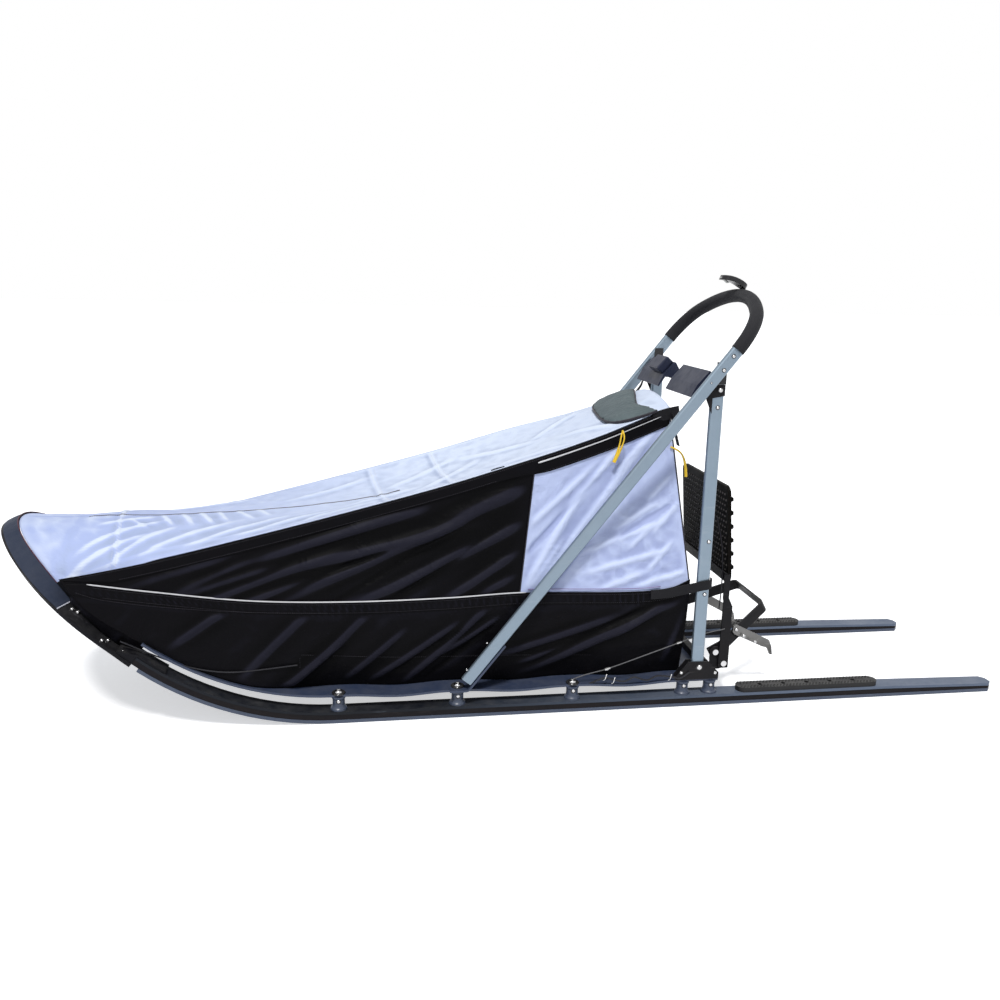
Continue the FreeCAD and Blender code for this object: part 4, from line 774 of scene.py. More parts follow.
# side panels; each fold is x1, z1, x2, z2, width, height, read from the near side
blackPanel = {
    "folds": [(527, 414, 190, 501, 17, 7), (528, 362, 19, 593, 16, 6.5), (417, 317, 17, 510, 15, 6),
              (211, 316, 27, 438, 13, 5), (526, 472, 304, 538, 14, 4), (774, 336, 483, 444, 15, 5.5),
              (834, 349, 644, 409, 13, 4.5), (699, 324, 484, 394, 13, 4.5), (857, 356, 717, 416, 12, 3.5),
              (131, 324, 25, 380, 12, 4), (670, 427, 381, 522, 16, 4.5), (330, 330, 120, 470, 9, -4),
              (600, 352, 300, 470, 10, -4), (230, 520, 40, 600, 16, 3.5), (960, 372, 760, 430, 14, 3),
              (470, 330, 150, 520, 8, -3)],
    "rows": 190, "columns": 60, "gain": 1.8, "rear": (30.6, -3.4), "farShift": 37, "creases": (2.4, 210, 5),
    "seed": 11, "sink": 1.0}
pocket = {
    "folds": [(449, 114, 343, 215, 9, 5), (374, 111, 210, 234, 9, 5.5), (292, 107, 128, 275, 10, 6),
              (211, 172, 99, 249, 8, 5), (31, 165, -172, 234, 12, 6), (-55, 123, -346, 265, 15, 6.5),
              (-241, 204, -357, 289, 12, 5), (629, 78, 488, 200, 12, 5), (867, 227, 745, 311, 12, 4.5),
              (583, 109, 432, 264, 11, 5), (-82, 163, -292, 260, 9, -4), (330, 120, 180, 230, 5, -3),
              (240, 110, 100, 240, 5, -3), (700, 150, 560, 290, 13, 4), (0, 130, -120, 180, 9, 4),
              (-380, 130, -425, 260, 14, 3)],
    "rows": 220, "columns": 50, "gain": 1.8, "farShift": -29, "creases": (1.6, 120, 5), "seed": 21,
    "sink": 0.8, "fade": 25, "edge": 0.03, "ruffle": 1.7, "ruffleStep": 17.0, "band": 30.0,
    "gather": (4, 12, 14), "draws": [(0.5, 61.0, 0), (0.3, 23.0, 1)], "wander": (1.2, 47),
    "channel": (1.4, 2.0, 8)}
window = {
    "folds": [(18, 339, -100, 542, 12, 5), (-100, 542, -228, 694, 11, 5), (-22, 350, -188, 566, 12, 6),
              (-188, 566, -305, 716, 11, 5.5), (16, 496, -143, 636, 10, 4), (20, 423, -167, 615, 9, -4),
              (0, 343, -71, 448, 9, 4), (-60, 350, -250, 600, 8, -3.5), (-230, 640, -330, 745, 9, 4)],
    "rearFolds": [(-152, 432, -332, 490, 8, 3), (-167, 377, -337, 416, 9, 4), (-234, 492, -322, 539, 8, 3.5),
                  (-266, 438, -321, 489, 7, 3.5), (-318, 379, -368, 436, 8, 4),
                  (-228, 457, -356, 532, 7, -3), (-181, 324, -286, 362, 10, 4), (-288, 332, -422, 367, 9, 4),
                  (-333, 482, -408, 560, 9, 3.5), (-314, 561, -364, 613, 9, 3)],
    "rows": 120, "columns": 110, "front": (30.0, -4.0), "gain": 1.7, "farShift": 24,
    "strut": (166, 98, 0.7813), "behind": (10, 60, 640, 120), "creases": (6.0, 85, 5),
    "broad": (1.5, 150, 4), "fine": (3.0, 46, 4), "least": 0.3, "most": 9.0, "sink": 1.0,
    "underHem": (36, 34), "push": 0.6, "edge": 0.05}
hem = {"rows": 160, "columns": 8, "inset": 6, "high": 30.0, "taper": (12, 130), "extra": (13.0, 80, 130),
       "ripple": (0.6, 31, 1.5, 87)}


# Panel on the bag's outer face with long folds and broad creases; the far side's folds are shifted along.
def makeBlackPanel(side):
    spec = blackPanel
    corners = panelCorners((meetFront(bag["pocketLap"]), bag["front"]), spec["rear"])
    grid = sideGrid(corners, spec["rows"], spec["columns"], bag["lap"])
    x, z = grid[..., 0], grid[..., 2]
    shift = 0 if side > 0 else spec["farShift"]
    height = spec["gain"] * ridges(x + shift, z, spec["folds"])
    height = height + creased(x, z, spec["creases"], spec["seed"] + side) - spec["sink"]
    grid = pushOut(grid, height * edgeFade(spec["rows"], spec["columns"]))
    return grid * np.array((1, side, 1))


# Pocket with folds that fade towards its upper band, which is gathered in sine ruffles over a sewn channel.
def makePocket(side):
    spec = pocket
    grid = sideGrid(pocketCorners, spec["rows"], spec["columns"], 0)
    x, z = grid[..., 0], grid[..., 2]
    below = along(bag["pipe"], x) - z
    shift = 0 if side > 0 else spec["farShift"]
    height = spec["gain"] * ridges(x + shift, z, spec["folds"])
    height = height + creased(x, z, spec["creases"], spec["seed"] + side) - spec["sink"]
    height = height * ease((below - spec["band"]) / spec["fade"])
    height = height * edgeFade(spec["rows"], spec["columns"], spec["edge"])
    upper, overlap, lower = spec["gather"]
    gather = ease(below / upper) * ease((spec["band"] + overlap - below) / lower)
    draw = 1 + sum(share * np.sin(x / step + start) for share, step, start in spec["draws"])
    wander = spec["wander"][0] * np.sin(x / spec["wander"][1])
    wave = np.sin(x / spec["ruffleStep"] * fullTurn + wander) * 0.5 - 0.2
    height += spec["ruffle"] * gather * draw * wave
    deep, wide, top = spec["channel"]
    height -= deep * bell(below - spec["band"], wide) * ease(below / top)
    return pushOut(grid, height) * np.array((1, side, 1))


# Window with taut folds, crumpled behind the strut and flat under the hem; a tanh holds its height.
def makeWindow(side):
    spec = window
    corners = panelCorners(spec["front"], (bag["rear"], bag["topRear"]))
    grid = sideGrid(corners, spec["rows"], spec["columns"], bag["lap"])
    x, z = grid[..., 0], grid[..., 2]
    shift = 0 if side > 0 else spec["farShift"]
    height = spec["gain"] * (ridges(x + shift, z, spec["folds"]) + ridges(x + shift, z, spec["rearFolds"]))
    footX, footHigh, lean = spec["strut"]
    strutX = footX - (z - footHigh) * lean
    gap, run, top, fade = spec["behind"]
    behind = ease((strutX - x - gap) / run) * ease((top - z) / fade)
    strong, size, count = spec["creases"]
    height += strong * behind * (crumple(x, z, size, count, 31 + side) - spec["least"])
    height += creased(x, z, spec["broad"], 41 + side)
    strong, size, count = spec["fine"]
    height += strong * (0.25 + 0.75 * behind) * (crumple(x, z, size, count, 33 + side) - spec["least"])
    height = spec["most"] * np.tanh(height / spec["most"]) - spec["sink"]
    drop, fade = spec["underHem"]
    height = height * ease((along(bag["top"], x) - drop - z) / fade)
    height = (height - spec["push"]) * edgeFade(spec["rows"], spec["columns"], spec["edge"])
    return pushOut(grid, height) * np.array((1, side, 1))


# Hem along the top edge: it tapers at the front, is wider at the rear, and ripples by a sine of a sine.
def makeHem(side):
    start = bag["front"] - hem["inset"]
    a, b = np.meshgrid(np.linspace(0, 1, hem["rows"]), np.linspace(0, 1, hem["columns"]), indexing="ij")
    x = start + (bag["topRear"] - start) * a
    lead, taper = hem["taper"]
    more, wideFrom, widen = hem["extra"]
    high = hem["high"] * np.minimum(1, (start + lead - x) / taper) + more * ease((wideFrom - x) / widen)
    z = along(bag["top"], x) - high * (1 - b)
    deep, step, swing, swingStep = hem["ripple"]
    ripple = deep * np.sin(x / step + swing * np.sin(x / swingStep)) * np.sin(b * np.pi)
    return np.stack([x, (sideY(x, z) + ripple) * side, z], -1)


sideNames = {1: "left", -1: "right"}
for side, word in sideNames.items():
    out = (0, side, 0)
    addSheet("bagSide_" + word, makeBlackPanel(side), "blackCloth", out, ["bag_side_" + word])
    addSheet("bagPocket_" + word, makePocket(side), "blackCloth", out, ["bag_pocket_" + word])
    addSheet("bagWindow_" + word, makeWindow(side), "windowCloth", out, ["bag_window_" + word])
for side, word in sideNames.items():
    addSheet("bagHem_" + word, makeHem(side), "blackCloth", (0, side, 0), ["bag_hems"])
print("side panels done")

# the bow hoop's line: a straight leg, a side arc and a nose arc in a leaning plane
bow = {"slopeDeg": 41.1, "width": 43.0, "thick": 9.0, "edgeHalf": 260.0, "straight": 95.0, "radius": 383.0,
       "arcDeg": 57.7, "turnDeg": 65.0, "runnerWidth": 49.0, "twistStart": 56.0, "twistShare": 0.97,
       "sleeveStart": 217.0, "runnerX": 500.0, "runnerRadius": 760.0, "runnerDeg": 39.5}
slope = math.radians(bow["slopeDeg"])
bowUp = np.array((-math.sin(slope), 0, math.cos(slope)))
bowAlong = np.array((math.cos(slope), 0, math.sin(slope)))
runnerArc = math.radians(bow["runnerDeg"])
bowFoot = np.array((bow["runnerX"] + bow["runnerRadius"] * math.sin(runnerArc), 0,
                    bow["runnerRadius"] * (1 - math.cos(runnerArc))))
sideArc = math.radians(bow["arcDeg"])
noseRadius = bow["radius"] + (bow["edgeHalf"] - bow["radius"]) / math.cos(sideArc)
bowRuns = (bow["straight"], bow["radius"] * sideArc, noseRadius * (math.pi / 2 - sideArc))
bowTotal = sum(bowRuns)


# Lower edge, width direction, face direction and width of the hoop at runs s from the left end.
def bowFrame(s):
    s = np.asarray(s, float)
    m = np.minimum(s, 2 * bowTotal - s)
    a = np.clip((m - bowRuns[0]) / bow["radius"], 0, sideArc)
    a = a + np.clip((m - bowRuns[0] - bowRuns[1]) / noseRadius, 0, 9)
    leg = np.minimum(m, bowRuns[0])
    onSide = np.minimum(a, sideArc)
    u = leg + bow["radius"] * np.sin(onSide) + noseRadius * (np.sin(a) - np.sin(onSide))
    y = np.where(a <= sideArc, bow["edgeHalf"] - bow["radius"] * (1 - np.cos(a)), noseRadius * np.cos(a))
    edge = bowFoot + bowAlong * u[:, None] + np.stack([0 * y, y, 0 * y], -1)
    inward = -bowAlong * np.sin(a)[:, None] + np.stack([0 * a, -np.cos(a), 0 * a], -1)
    t = np.clip((m - bow["twistStart"]) / (bowRuns[0] + bow["twistShare"] * bowRuns[1] - bow["twistStart"]),
                0, 1)
    turn = math.radians(bow["turnDeg"]) * ease(t)
    across = inward * np.cos(turn)[:, None] + bowUp * np.sin(turn)[:, None]
    out = bowUp * np.cos(turn)[:, None] - inward * np.sin(turn)[:, None]
    width = bow["runnerWidth"] + (bow["width"] - bow["runnerWidth"]) * t
    mirror = np.where(s > bowTotal, -1.0, 1.0)[:, None] * np.array((0, 1, 0)) + np.array((1, 0, 1))
    return edge * mirror, across * mirror, out * mirror, width


sleeve = {"stations": 150, "across": 9, "low": 1.5, "lowNose": 6.0, "high": 1.8, "clear": 2.1, "crown": 0.8,
          "ripple": (0.35, 9, 2, 41), "under": 0.25, "cut": 1.5, "cutLift": 1.7, "cutBar": (3.0, 2.6),
          "seam": 1.6, "seamRadius": 1.3}


# Thin cloth band on the hoop's outer face: a flat loop with a rounded top, carried along the hoop.
def makeSleeve():
    s = np.linspace(bow["sleeveStart"], 2 * bowTotal - bow["sleeveStart"], sleeve["stations"])
    edge, across, out, width = bowFrame(s)
    nose = np.sin(np.pi * (s - s[0]) / (s[-1] - s[0])) ** 2
    low, high = (sleeve["low"] + sleeve["lowNose"] * nose)[:, None], (width + sleeve["high"])[:, None]
    t = np.linspace(0, 1, sleeve["across"])
    outer = low + (high - low) * t
    deep, step, swing, swingStep = sleeve["ripple"]
    crown = bow["thick"] + sleeve["clear"] + sleeve["crown"] * np.sin(np.pi * t) + 0 * outer
    ripple = deep * np.sin(s / step + swing * np.sin(s / swingStep))
    crown = crown + ripple[:, None] * np.sin(np.pi * t) ** 0.5
    lower = high + (low - high) * t
    wide = np.concatenate([outer, lower], 1)
    tall = np.concatenate([crown, bow["thick"] + sleeve["under"] + 0 * lower], 1)
    points = edge[:, None] + across[:, None] * wide[..., None] + out[:, None] * tall[..., None]
    count = wide.shape[1]
    caps = [np.arange(count), (np.arange(count) + (len(s) - 1) * count)[::-1]]
    quads = gridQuads(len(s), count, True)[:, ::-1]
    uv = np.stack([s[:, None] + 0 * wide, wide], -1) / 1000.0
    return (points.reshape(-1, 3), quads, caps), uv


# Paler cut edge of the sleeve at both legs: a small bar across the strip.
def sleeveEnd():
    parts = []
    first = bow["sleeveStart"] - sleeve["cut"]
    for s in (first, 2 * bowTotal - first):
        edge, across, out, width = bowFrame(np.full(7, s))
        t = np.linspace(0.01, 0.99, 7)
        path = edge + across * (width * t)[:, None] + out * (bow["thick"] + sleeve["cutLift"])
        parts.append(carry(path, roundedBar(*sleeve["cutBar"]), bowAlong))
    return join(parts)


# Seam along the sleeve's upper edge.
def sleeveSeam():
    first = bow["sleeveStart"] + 2
    edge, across, out, width = bowFrame(np.linspace(first, 2 * bowTotal - first, sleeve["stations"]))
    path = edge + across * (width + sleeve["seam"])[:, None] + out * (bow["thick"] + sleeve["seam"])
    return carry(path, circle(sleeve["seamRadius"], 6), bowUp)


sleevePart, sleeveUv = makeSleeve()
sleevePiece = addMesh("bowSleeve", sleevePart, "sleeveCloth", uv=sleeveUv, sharp=50)
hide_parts("bow_sleeve")
addMesh("sleeveEdge", sleeveEnd(), "whiteThread")
addMesh("sleeveSeam", sleeveSeam(), "seamRed")


# cover; each fold is x1, y1, x2, y2, width, height
cover = {
    "rows": 260, "columns": 81, "gain": 1.5, "blendFrom": 900.0, "drop": 2.0, "broad": (3.6, 130, 6),
    "small": (1.8, 60, 4), "rear": (2.0, 70, 5, 0.3), "rearFrom": (-40, -250), "sink": 2.4,
    "seamRidge": (2.6, 5.0), "seamGroove": (1.2, 5.0, 12), "seamLean": 0.12, "middle": (1.6, 4.0, 330, 30),
    "edgeBand": (1.8, 0.86, 0.022, 500, 200), "edges": (0.02, 0.1),
    "folds": [(1060, 60, 960, 30, 8, 3), (1000, 50, 960, 90, 7, 2.5), (930, 20, 900, 80, 7, 3),
              (880, 15, 850, 85, 7, 3), (835, 15, 800, 90, 7, 3), (790, 15, 765, 80, 7, 2.5),
              (740, 15, 700, 85, 8, 2.5), (690, 12, 660, 70, 8, 2), (1090, 140, 930, 60, 9, 3),
              (1110, 180, 960, 130, 9, 3), (1020, 190, 900, 110, 10, 3), (930, 190, 760, 110, 12, 3),
              (820, 200, 640, 120, 12, 3), (700, 205, 520, 120, 14, 3), (560, 200, 420, 100, 14, 3),
              (430, 60, 300, 20, 12, 2.5), (330, -60, 180, -140, 14, 3), (250, 40, 120, -60, 13, 3),
              (120, -120, -40, -30, 14, 3), (60, 90, -80, 170, 13, 3), (-60, -60, -180, -140, 13, 3.5),
              (-120, 60, -220, 150, 13, 3.5), (600, -80, 420, -160, 15, 3), (900, -60, 720, -150, 14, 3),
              (1040, -60, 940, -160, 12, 3)],
    "seams": [1035.0, 372.0, 196.0]}


# Points just inside the hoop's upper edge for t from -1, right, to 1, left.
def hoopEdge(t, drop, inside=3.0):
    t = np.asarray(t, float)
    s = bowTotal - np.abs(t) * (bowTotal - hoopRun)
    edge, across, out, width = bowFrame(s)
    p = edge + across * (width + inside)[:, None] + out * (bow["thick"] / 2 + drop)
    p[:, 1] = np.where(t < 0, -np.abs(p[:, 1]), np.abs(p[:, 1])) * (np.abs(t) > 1e-9)
    return p


# the run at which the hoop's upper edge passes the bag's front
runs = np.linspace(0, bowTotal, 4000)
edges, acrosses, outs, widths = bowFrame(runs)
hoopRun = float(np.interp(bag["front"], (edges + acrosses * (widths + 3)[:, None])[:, 0], runs))


# Cover before it leans to the hoop: a parabola across, as high in the middle as the crown's table says.
def coverBase(x, t):
    half = along(bag["topHalf"], x) - bag["lap"]
    z = along(bag["top"], x) + along(bag["crown"], x) * (1 - t ** 2) + bag["cloth"] + bag["gap"]
    return half * t, z


# Cover surface: a 0 at the rear, 1 at the hoop; t from right -1 to left 1. It leans into the hoop's edge.
def coverPoints(a, t):
    goal = hoopEdge(t[0], cover["drop"])
    x = bag["topRear"] + (goal[None, :, 0] - bag["topRear"]) * a
    y, z = coverBase(x, t)
    endY, endZ = coverBase(goal[None, :, 0] + 0 * x, t)
    weight = ease((x - cover["blendFrom"]) / (goal[None, :, 0] - cover["blendFrom"]))
    y = y + (goal[None, :, 1] - endY) * weight
    z = z + (goal[None, :, 2] - endZ) * weight
    return np.stack([x, y, z], -1)


# Cover with folds, creases, sewn cross seams, a groove along the middle and a raised band along each edge.
def makeCover():
    a, t = np.meshgrid(np.linspace(0, 1, cover["rows"]), np.linspace(-1, 1, cover["columns"]), indexing="ij")
    grid = coverPoints(a, t)
    x, y = grid[..., 0], grid[..., 1]
    height = cover["gain"] * ridges(x, y, cover["folds"]) + creased(x, y, cover["broad"], 51)
    height += creased(x, y, cover["small"], 52) - cover["sink"]
    strong, size, count, least = cover["rear"]
    start, run = cover["rearFrom"]
    height += strong * ease((x - start) / run) * (crumple(x, y, size, count, 53) - least)
    ridge, groove = cover["seamRidge"], cover["seamGroove"]
    for seam in cover["seams"]:
        off = x - seam + cover["seamLean"] * y
        height += ridge[0] * bell(off, ridge[1]) - groove[0] * bell(off - groove[2], groove[1])
    deep, wide, start, run = cover["middle"]
    height -= deep * bell(y, wide) * ease((x - start) / run)
    high, place, wide, start, run = cover["edgeBand"]
    height += high * bell(np.abs(t) - place, wide) * ease((x - start) / run)
    ends, sides = cover["edges"]
    fade = ease(np.minimum(a, 1 - a) / ends) * ease((1 - np.abs(t)) / sides)
    return pushOut(grid, height * fade)


coverGrid = makeCover()
addSheet("bagCover", coverGrid, "coverCloth", (0, 0, 1), ["bag_cover"])


# Points read from a sheet's own grid along fractional rows and columns, lifted off it.
def surfacePath(grid, rows, columns, lift):
    r = np.clip(np.asarray(rows, float), 0, grid.shape[0] - 1.001)
    c = np.clip(np.asarray(columns, float), 0, grid.shape[1] - 1.001)
    r0, c0 = r.astype(int), c.astype(int)
    fr, fc = (r - r0)[:, None], (c - c0)[:, None]
    p = (grid[r0, c0] * (1 - fr) * (1 - fc) + grid[r0 + 1, c0] * fr * (1 - fc)
         + grid[r0, c0 + 1] * (1 - fr) * fc + grid[r0 + 1, c0 + 1] * fr * fc)
    return p + np.asarray(lift, float)


# The fractional row at which a column of a grid passes x.
def rowAtX(grid, column, x):
    line = grid[:, int(column), 0]
    order = np.argsort(line)
    return np.interp(x, line[order], np.arange(len(line))[order])


frontPanel = {"rows": 40, "columns": 50, "under": 6.0, "shrink": 0.985, "back": 4, "drop": 8,
              "foot": (2, 3.4, 2), "belly": 5.0, "creases": (90, 5), "least": 0.3, "dent": 2.0,
              "way": (0.7, 0, -0.7)}
gusset = {"way": (0.2, 0.98, 0.1)}  # the way in which the side gussets belly out


# Lower and upper end of the front panel's lines, for t from -1, right, to 1, left.
def frontEnds(t):
    goal = hoopEdge(t, -frontPanel["under"])
    goal = goal * np.array((1, frontPanel["shrink"], 1))
    goal = goal - np.array((frontPanel["back"], 0, frontPanel["drop"]))
    back, narrow, lift = frontPanel["foot"]
    half = float(footHalf(frontLow[0])) - narrow
    return np.stack([0 * t + frontLow[0] - back, half * t, 0 * t + frontLow[1] + lift], -1), goal


# Front panel: straight from the bed's end to under the hoop's edge, pushed in by a soft belly.
def makeFront():
    b, t = np.meshgrid(np.linspace(0, 1, frontPanel["rows"]), np.linspace(-1, 1, frontPanel["columns"]),
                       indexing="ij")
    low, goal = frontEnds(t[0])
    grid = low[None] + (goal - low)[None] * b[..., None]
    fade = np.sin(b * np.pi) * np.cos(t * np.pi / 2) ** 0.5
    dent = frontPanel["dent"] * (crumple(grid[..., 1], grid[..., 2], *frontPanel["creases"], 61)
                                 - frontPanel["least"])
    push = (dent - frontPanel["belly"]) * fade
    return grid + np.array(frontPanel["way"]) * push[..., None]


wing = {"rows": 60, "columns": 16, "start": 60.0, "low": 0.06, "high": 0.8, "seat": 0.7, "inset": 2.5,
        "gap": 2.0, "belly": 5.0, "least": 0.4, "creases": (70, 5)}


# Side gusset: straight lines from the front panel's edge to the hoop's leg, with a shallow belly.
def makeWing(side):
    share, b = np.meshgrid(np.linspace(0, 1, wing["rows"]), np.linspace(0, 1, wing["columns"]), indexing="ij")
    low, goal = frontEnds(np.array([1.0]))
    high = low + (goal - low) * (wing["low"] + (wing["high"] - wing["low"]) * share[:, :1])
    high = high + np.array((0, wing["gap"], 0))
    run = wing["start"] + (hoopRun * wing["high"] - wing["start"]) * share[:, 0]
    edge, across, out, width = bowFrame(run)
    foot = edge + across * (width - wing["inset"])[:, None] + out * (bow["thick"] + wing["seat"])
    grid = high[:, None] + (foot - high)[:, None] * b[..., None]
    fade = np.sin(np.pi * b) * np.sin(np.pi * share) ** 0.5
    bulge = crumple(grid[..., 0], grid[..., 2], *wing["creases"], 65 + side) - wing["least"]
    push = fade * wing["belly"] * bulge
    return (grid + np.array(gusset["way"]) * push[..., None]) * np.array((1, side, 1))


corner = {"rows": 80, "columns": 18, "runLow": 6.0, "runHigh": 276.0, "legFrom": (50.0, 14),
          "sleeveFrom": (214.0, 10), "top": 1, "back": 5, "wide": (2, -8, 6.5), "stand": (4, 6.6, -0.1),
          "lift": 0.5, "belly": 4.0, "least": -0.2, "creases": (90, 5)}


# Front corner of the bag: straight lines from the side's front edge to the hoop's leg or its inner edge.
def makeCorner(side):
    share, b = np.meshgrid(np.linspace(0, 1, corner["rows"]), np.linspace(0, 1, corner["columns"]),
                           indexing="ij")
    z = frontLow[1] + (bag["top"][0][1] - corner["top"] - frontLow[1]) * share[:, 0]
    pipeZ = float(along(bag["pipe"], meetFront(0)))
    x = frontX(z) + bag["bulge"] * np.sin(np.pi * np.clip((z - frontLow[1]) / (pipeZ - frontLow[1]), 0, 1))
    x = x - corner["back"]
    rear = np.stack([x, sideY(x, z) + corner["lift"], z], -1)
    run = corner["runLow"] + (corner["runHigh"] - corner["runLow"]) * share[:, 0]
    edge, across, out, width = bowFrame(run)
    onLeg, onSleeve = (ease((run - start) / length)
                       for start, length in (corner["legFrom"], corner["sleeveFrom"]))
    wide, stand = corner["wide"], corner["stand"]
    foot = edge + across * (width + wide[0] + wide[1] * onLeg + wide[2] * onSleeve)[:, None]
    foot = foot + out * (stand[0] + stand[1] * onLeg + stand[2] * onSleeve)[:, None]
    grid = rear[:, None] + (foot - rear)[:, None] * b[..., None]
    fade = np.sin(np.pi * b) * np.sin(np.pi * share) ** 0.5
    bulge = crumple(grid[..., 0], grid[..., 2], *corner["creases"], 68 + side) - corner["least"]
    push = fade * corner["belly"] * bulge
    return (grid + np.array(gusset["way"]) * push[..., None]) * np.array((1, side, 1))


back = {"cells": 60, "topDrop": 8, "forward": 2, "inset": 1, "creases": (3.0, 120, 5), "sink": 1,
        "split": 0.385}


# Rear panel: upright to the piping's height, then leaning to the top edge; slack in the middle.
def makeRear(low, high):
    b, t = np.meshgrid(np.linspace(low, high, back["cells"]), np.linspace(-1, 1, back["cells"]),
                       indexing="ij")
    top = bag["top"][-1][1]
    zLow, zHigh = float(footZ(bag["rear"])), top - back["topDrop"]
    z = zLow + (zHigh - zLow) * b
    knee = float(along(bag["pipe"], bag["rear"]))
    lean = np.clip((z - knee) / (top - knee), 0, 1)
    x = bag["rear"] + (bag["topRear"] - bag["rear"]) * lean + back["forward"]
    y = (sideY(x, z) - bag["lap"] - bag["cloth"] - back["inset"]) * t
    sag = (creased(y, z, back["creases"], 71) - back["sink"]) * np.cos(t * np.pi / 2) ** 0.5
    return np.stack([x + sag, y, z], -1)


addSheet("bagFront", makeFront(), "blackCloth", (1, 0, -1), ["bag_front"])
for side, word in sideNames.items():
    out = (0, side, 0)
    addSheet("bagWing_" + word, makeWing(side), "blackCloth", out, ["bag_front"])
    addSheet("bagCorner_" + word, makeCorner(side), "blackCloth", out)
addSheet("bagRear_low", makeRear(0, back["split"]), "blackCloth", (-1, 0, 0), ["bag_rear"])
addSheet("bagRear_high", makeRear(back["split"], 1.0), "windowCloth", (-1, 0, 0), ["bag_rear"])
print("cover, front and rear done")


# piping, seams and stitches; a side line is a table, its drop, its first and last x, its points and its stand
trim = {
    "pipe": ("pipe", -0.8, 1071, 14, 120, 0.6), "pipeRadius": 1.8,
    "hemStrip": ("top", 12, -8, -338, 60, 1.4), "hemRadius": 2.2, "hemFlat": 0.45,
    "windowFoot": ("pipe", -9, 10, -345, 60, 0.7), "footRadius": 1.2,
    "windowSides": [((31.5, -2.5), -1.6, 1.5), ((-425.0, -362.0), -3.2, 2.0)],
    "centreX": (322, 1117), "centreRadius": 1.6, "centrePoints": 200}
stitch = {
    "length": 3.2, "pitch": 5.2, "width": 0.5, "besideSeam": 6.0, "besideMiddle": 0.9, "seamLength": 3.4,
    "seamPitch": 5.6, "seamWidth": 0.45, "lift": 0.4,
    "sideLines": [("pipe", 6, 1060, -415, 300, 0.4), ("pipe", 29, 1040, -415, 300, -0.6),
                  ("top", 26, 1000, 90, 220, 0.5), ("top", 39, 0, -350, 90, 0.5),
                  ("top", 4, 1090, -358, 300, 0.7)],
    "freeLines": [([(1062, 395), (959, 417), (809, 449), (644, 488), (502, 523), (260, 584), (40, 637)],
                   -2.3, 240),
                  ([(1100, 358), (1043, 339), (907, 317), (721, 298), (506, 288)], 1.2, 160),
                  ([(583, 174), (484, 164), (333, 154), (183, 149), (20, 145), (-178, 135)], 1.2, 240),
                  ([(586, 92), (584, 136), (583, 172)], 1.2, 40)]}


# A line along the bag's left side at a table's height less drop, standing off the outer face.
def sideLine(table, drop, x0, x1, count, stand):
    x = np.linspace(x0, x1, count)
    z = along(bag[table], x) - drop
    return np.stack([x, sideY(x, z) + stand, z], -1)


# A smooth line along the side through places given as x and z, standing off the outer face.
def throughSide(points, stand, count):
    line = curveThrough([(x, 0, z) for x, z in points], count)
    x, z = line[:, 0], line[:, 2]
    return np.stack([x, sideY(x, z) + stand, z], -1)


# Short thread dashes laid along a path, each a flattened bead.
def stitchRow(path, length=stitch["length"], pitch=stitch["pitch"], width=stitch["width"]):
    path = np.asarray(path, float)
    run = np.r_[0, np.cumsum(np.linalg.norm(np.diff(path, axis=0), axis=1))]
    s = np.arange(pitch, run[-1] - pitch, pitch)
    mid, ahead = (np.stack([np.interp(place, run, path[:, k]) for k in range(3)], -1) for place in (s, s + 1))
    bead = [(width * 0.5, -length / 2), (width, -length / 4), (width, length / 4), (width * 0.5, length / 2)]
    return turned(bead, mid, ahead - mid, 5)


# One end of the window from piping to top edge.
def windowEdge(ends, stand, count=60):
    b = np.linspace(0.03, 0.99, count)
    x, z = panelCorners(ends, (0, 0))(np.zeros(count), b)
    return np.stack([x, sideY(x, z) + stand, z], -1)


# A line across the cover beside a cross seam, which leans as the seam does.
def crossSeam(x, columns, lift):
    rows = [rowAtX(coverGrid, c, x - cover["seamLean"] * coverGrid[0, int(c), 1]) for c in columns]
    return surfacePath(coverGrid, rows, columns, (0, 0, lift))


pipeEnds = np.r_[0.3, np.ones(118), 0.3]
hemEnds = np.r_[0.3, np.linspace(1, 0.4, 58), 0.2]
silver = [carry(sideLine(*trim["pipe"]), circle(trim["pipeRadius"], 8), (0, 0, 1), pipeEnds),
          carry(sideLine(*trim["hemStrip"]), circle(trim["hemRadius"], 8, trim["hemFlat"]), (0, 0, 1),
                hemEnds)]
addMesh("silverPiping", bothSides(join(silver)), "silverPiping")
darkLines = [sideLine(*spec) for spec in stitch["sideLines"]]
darkLines += [throughSide(*spec) for spec in stitch["freeLines"]]
addMesh("darkStitches", bothSides(join([stitchRow(line) for line in darkLines])), "seamDark")
windowSides = [carry(windowEdge(ends, stand), circle(radius, 6), (1, 0, 0))
               for ends, stand, radius in trim["windowSides"]]
addMesh("windowBinding", bothSides(join(windowSides)), "seamDark")
windowFoot = carry(sideLine(*trim["windowFoot"]), circle(trim["footRadius"], 6), (0, 0, 1))
addMesh("windowFoot", bothSides(windowFoot), "seamPlum")

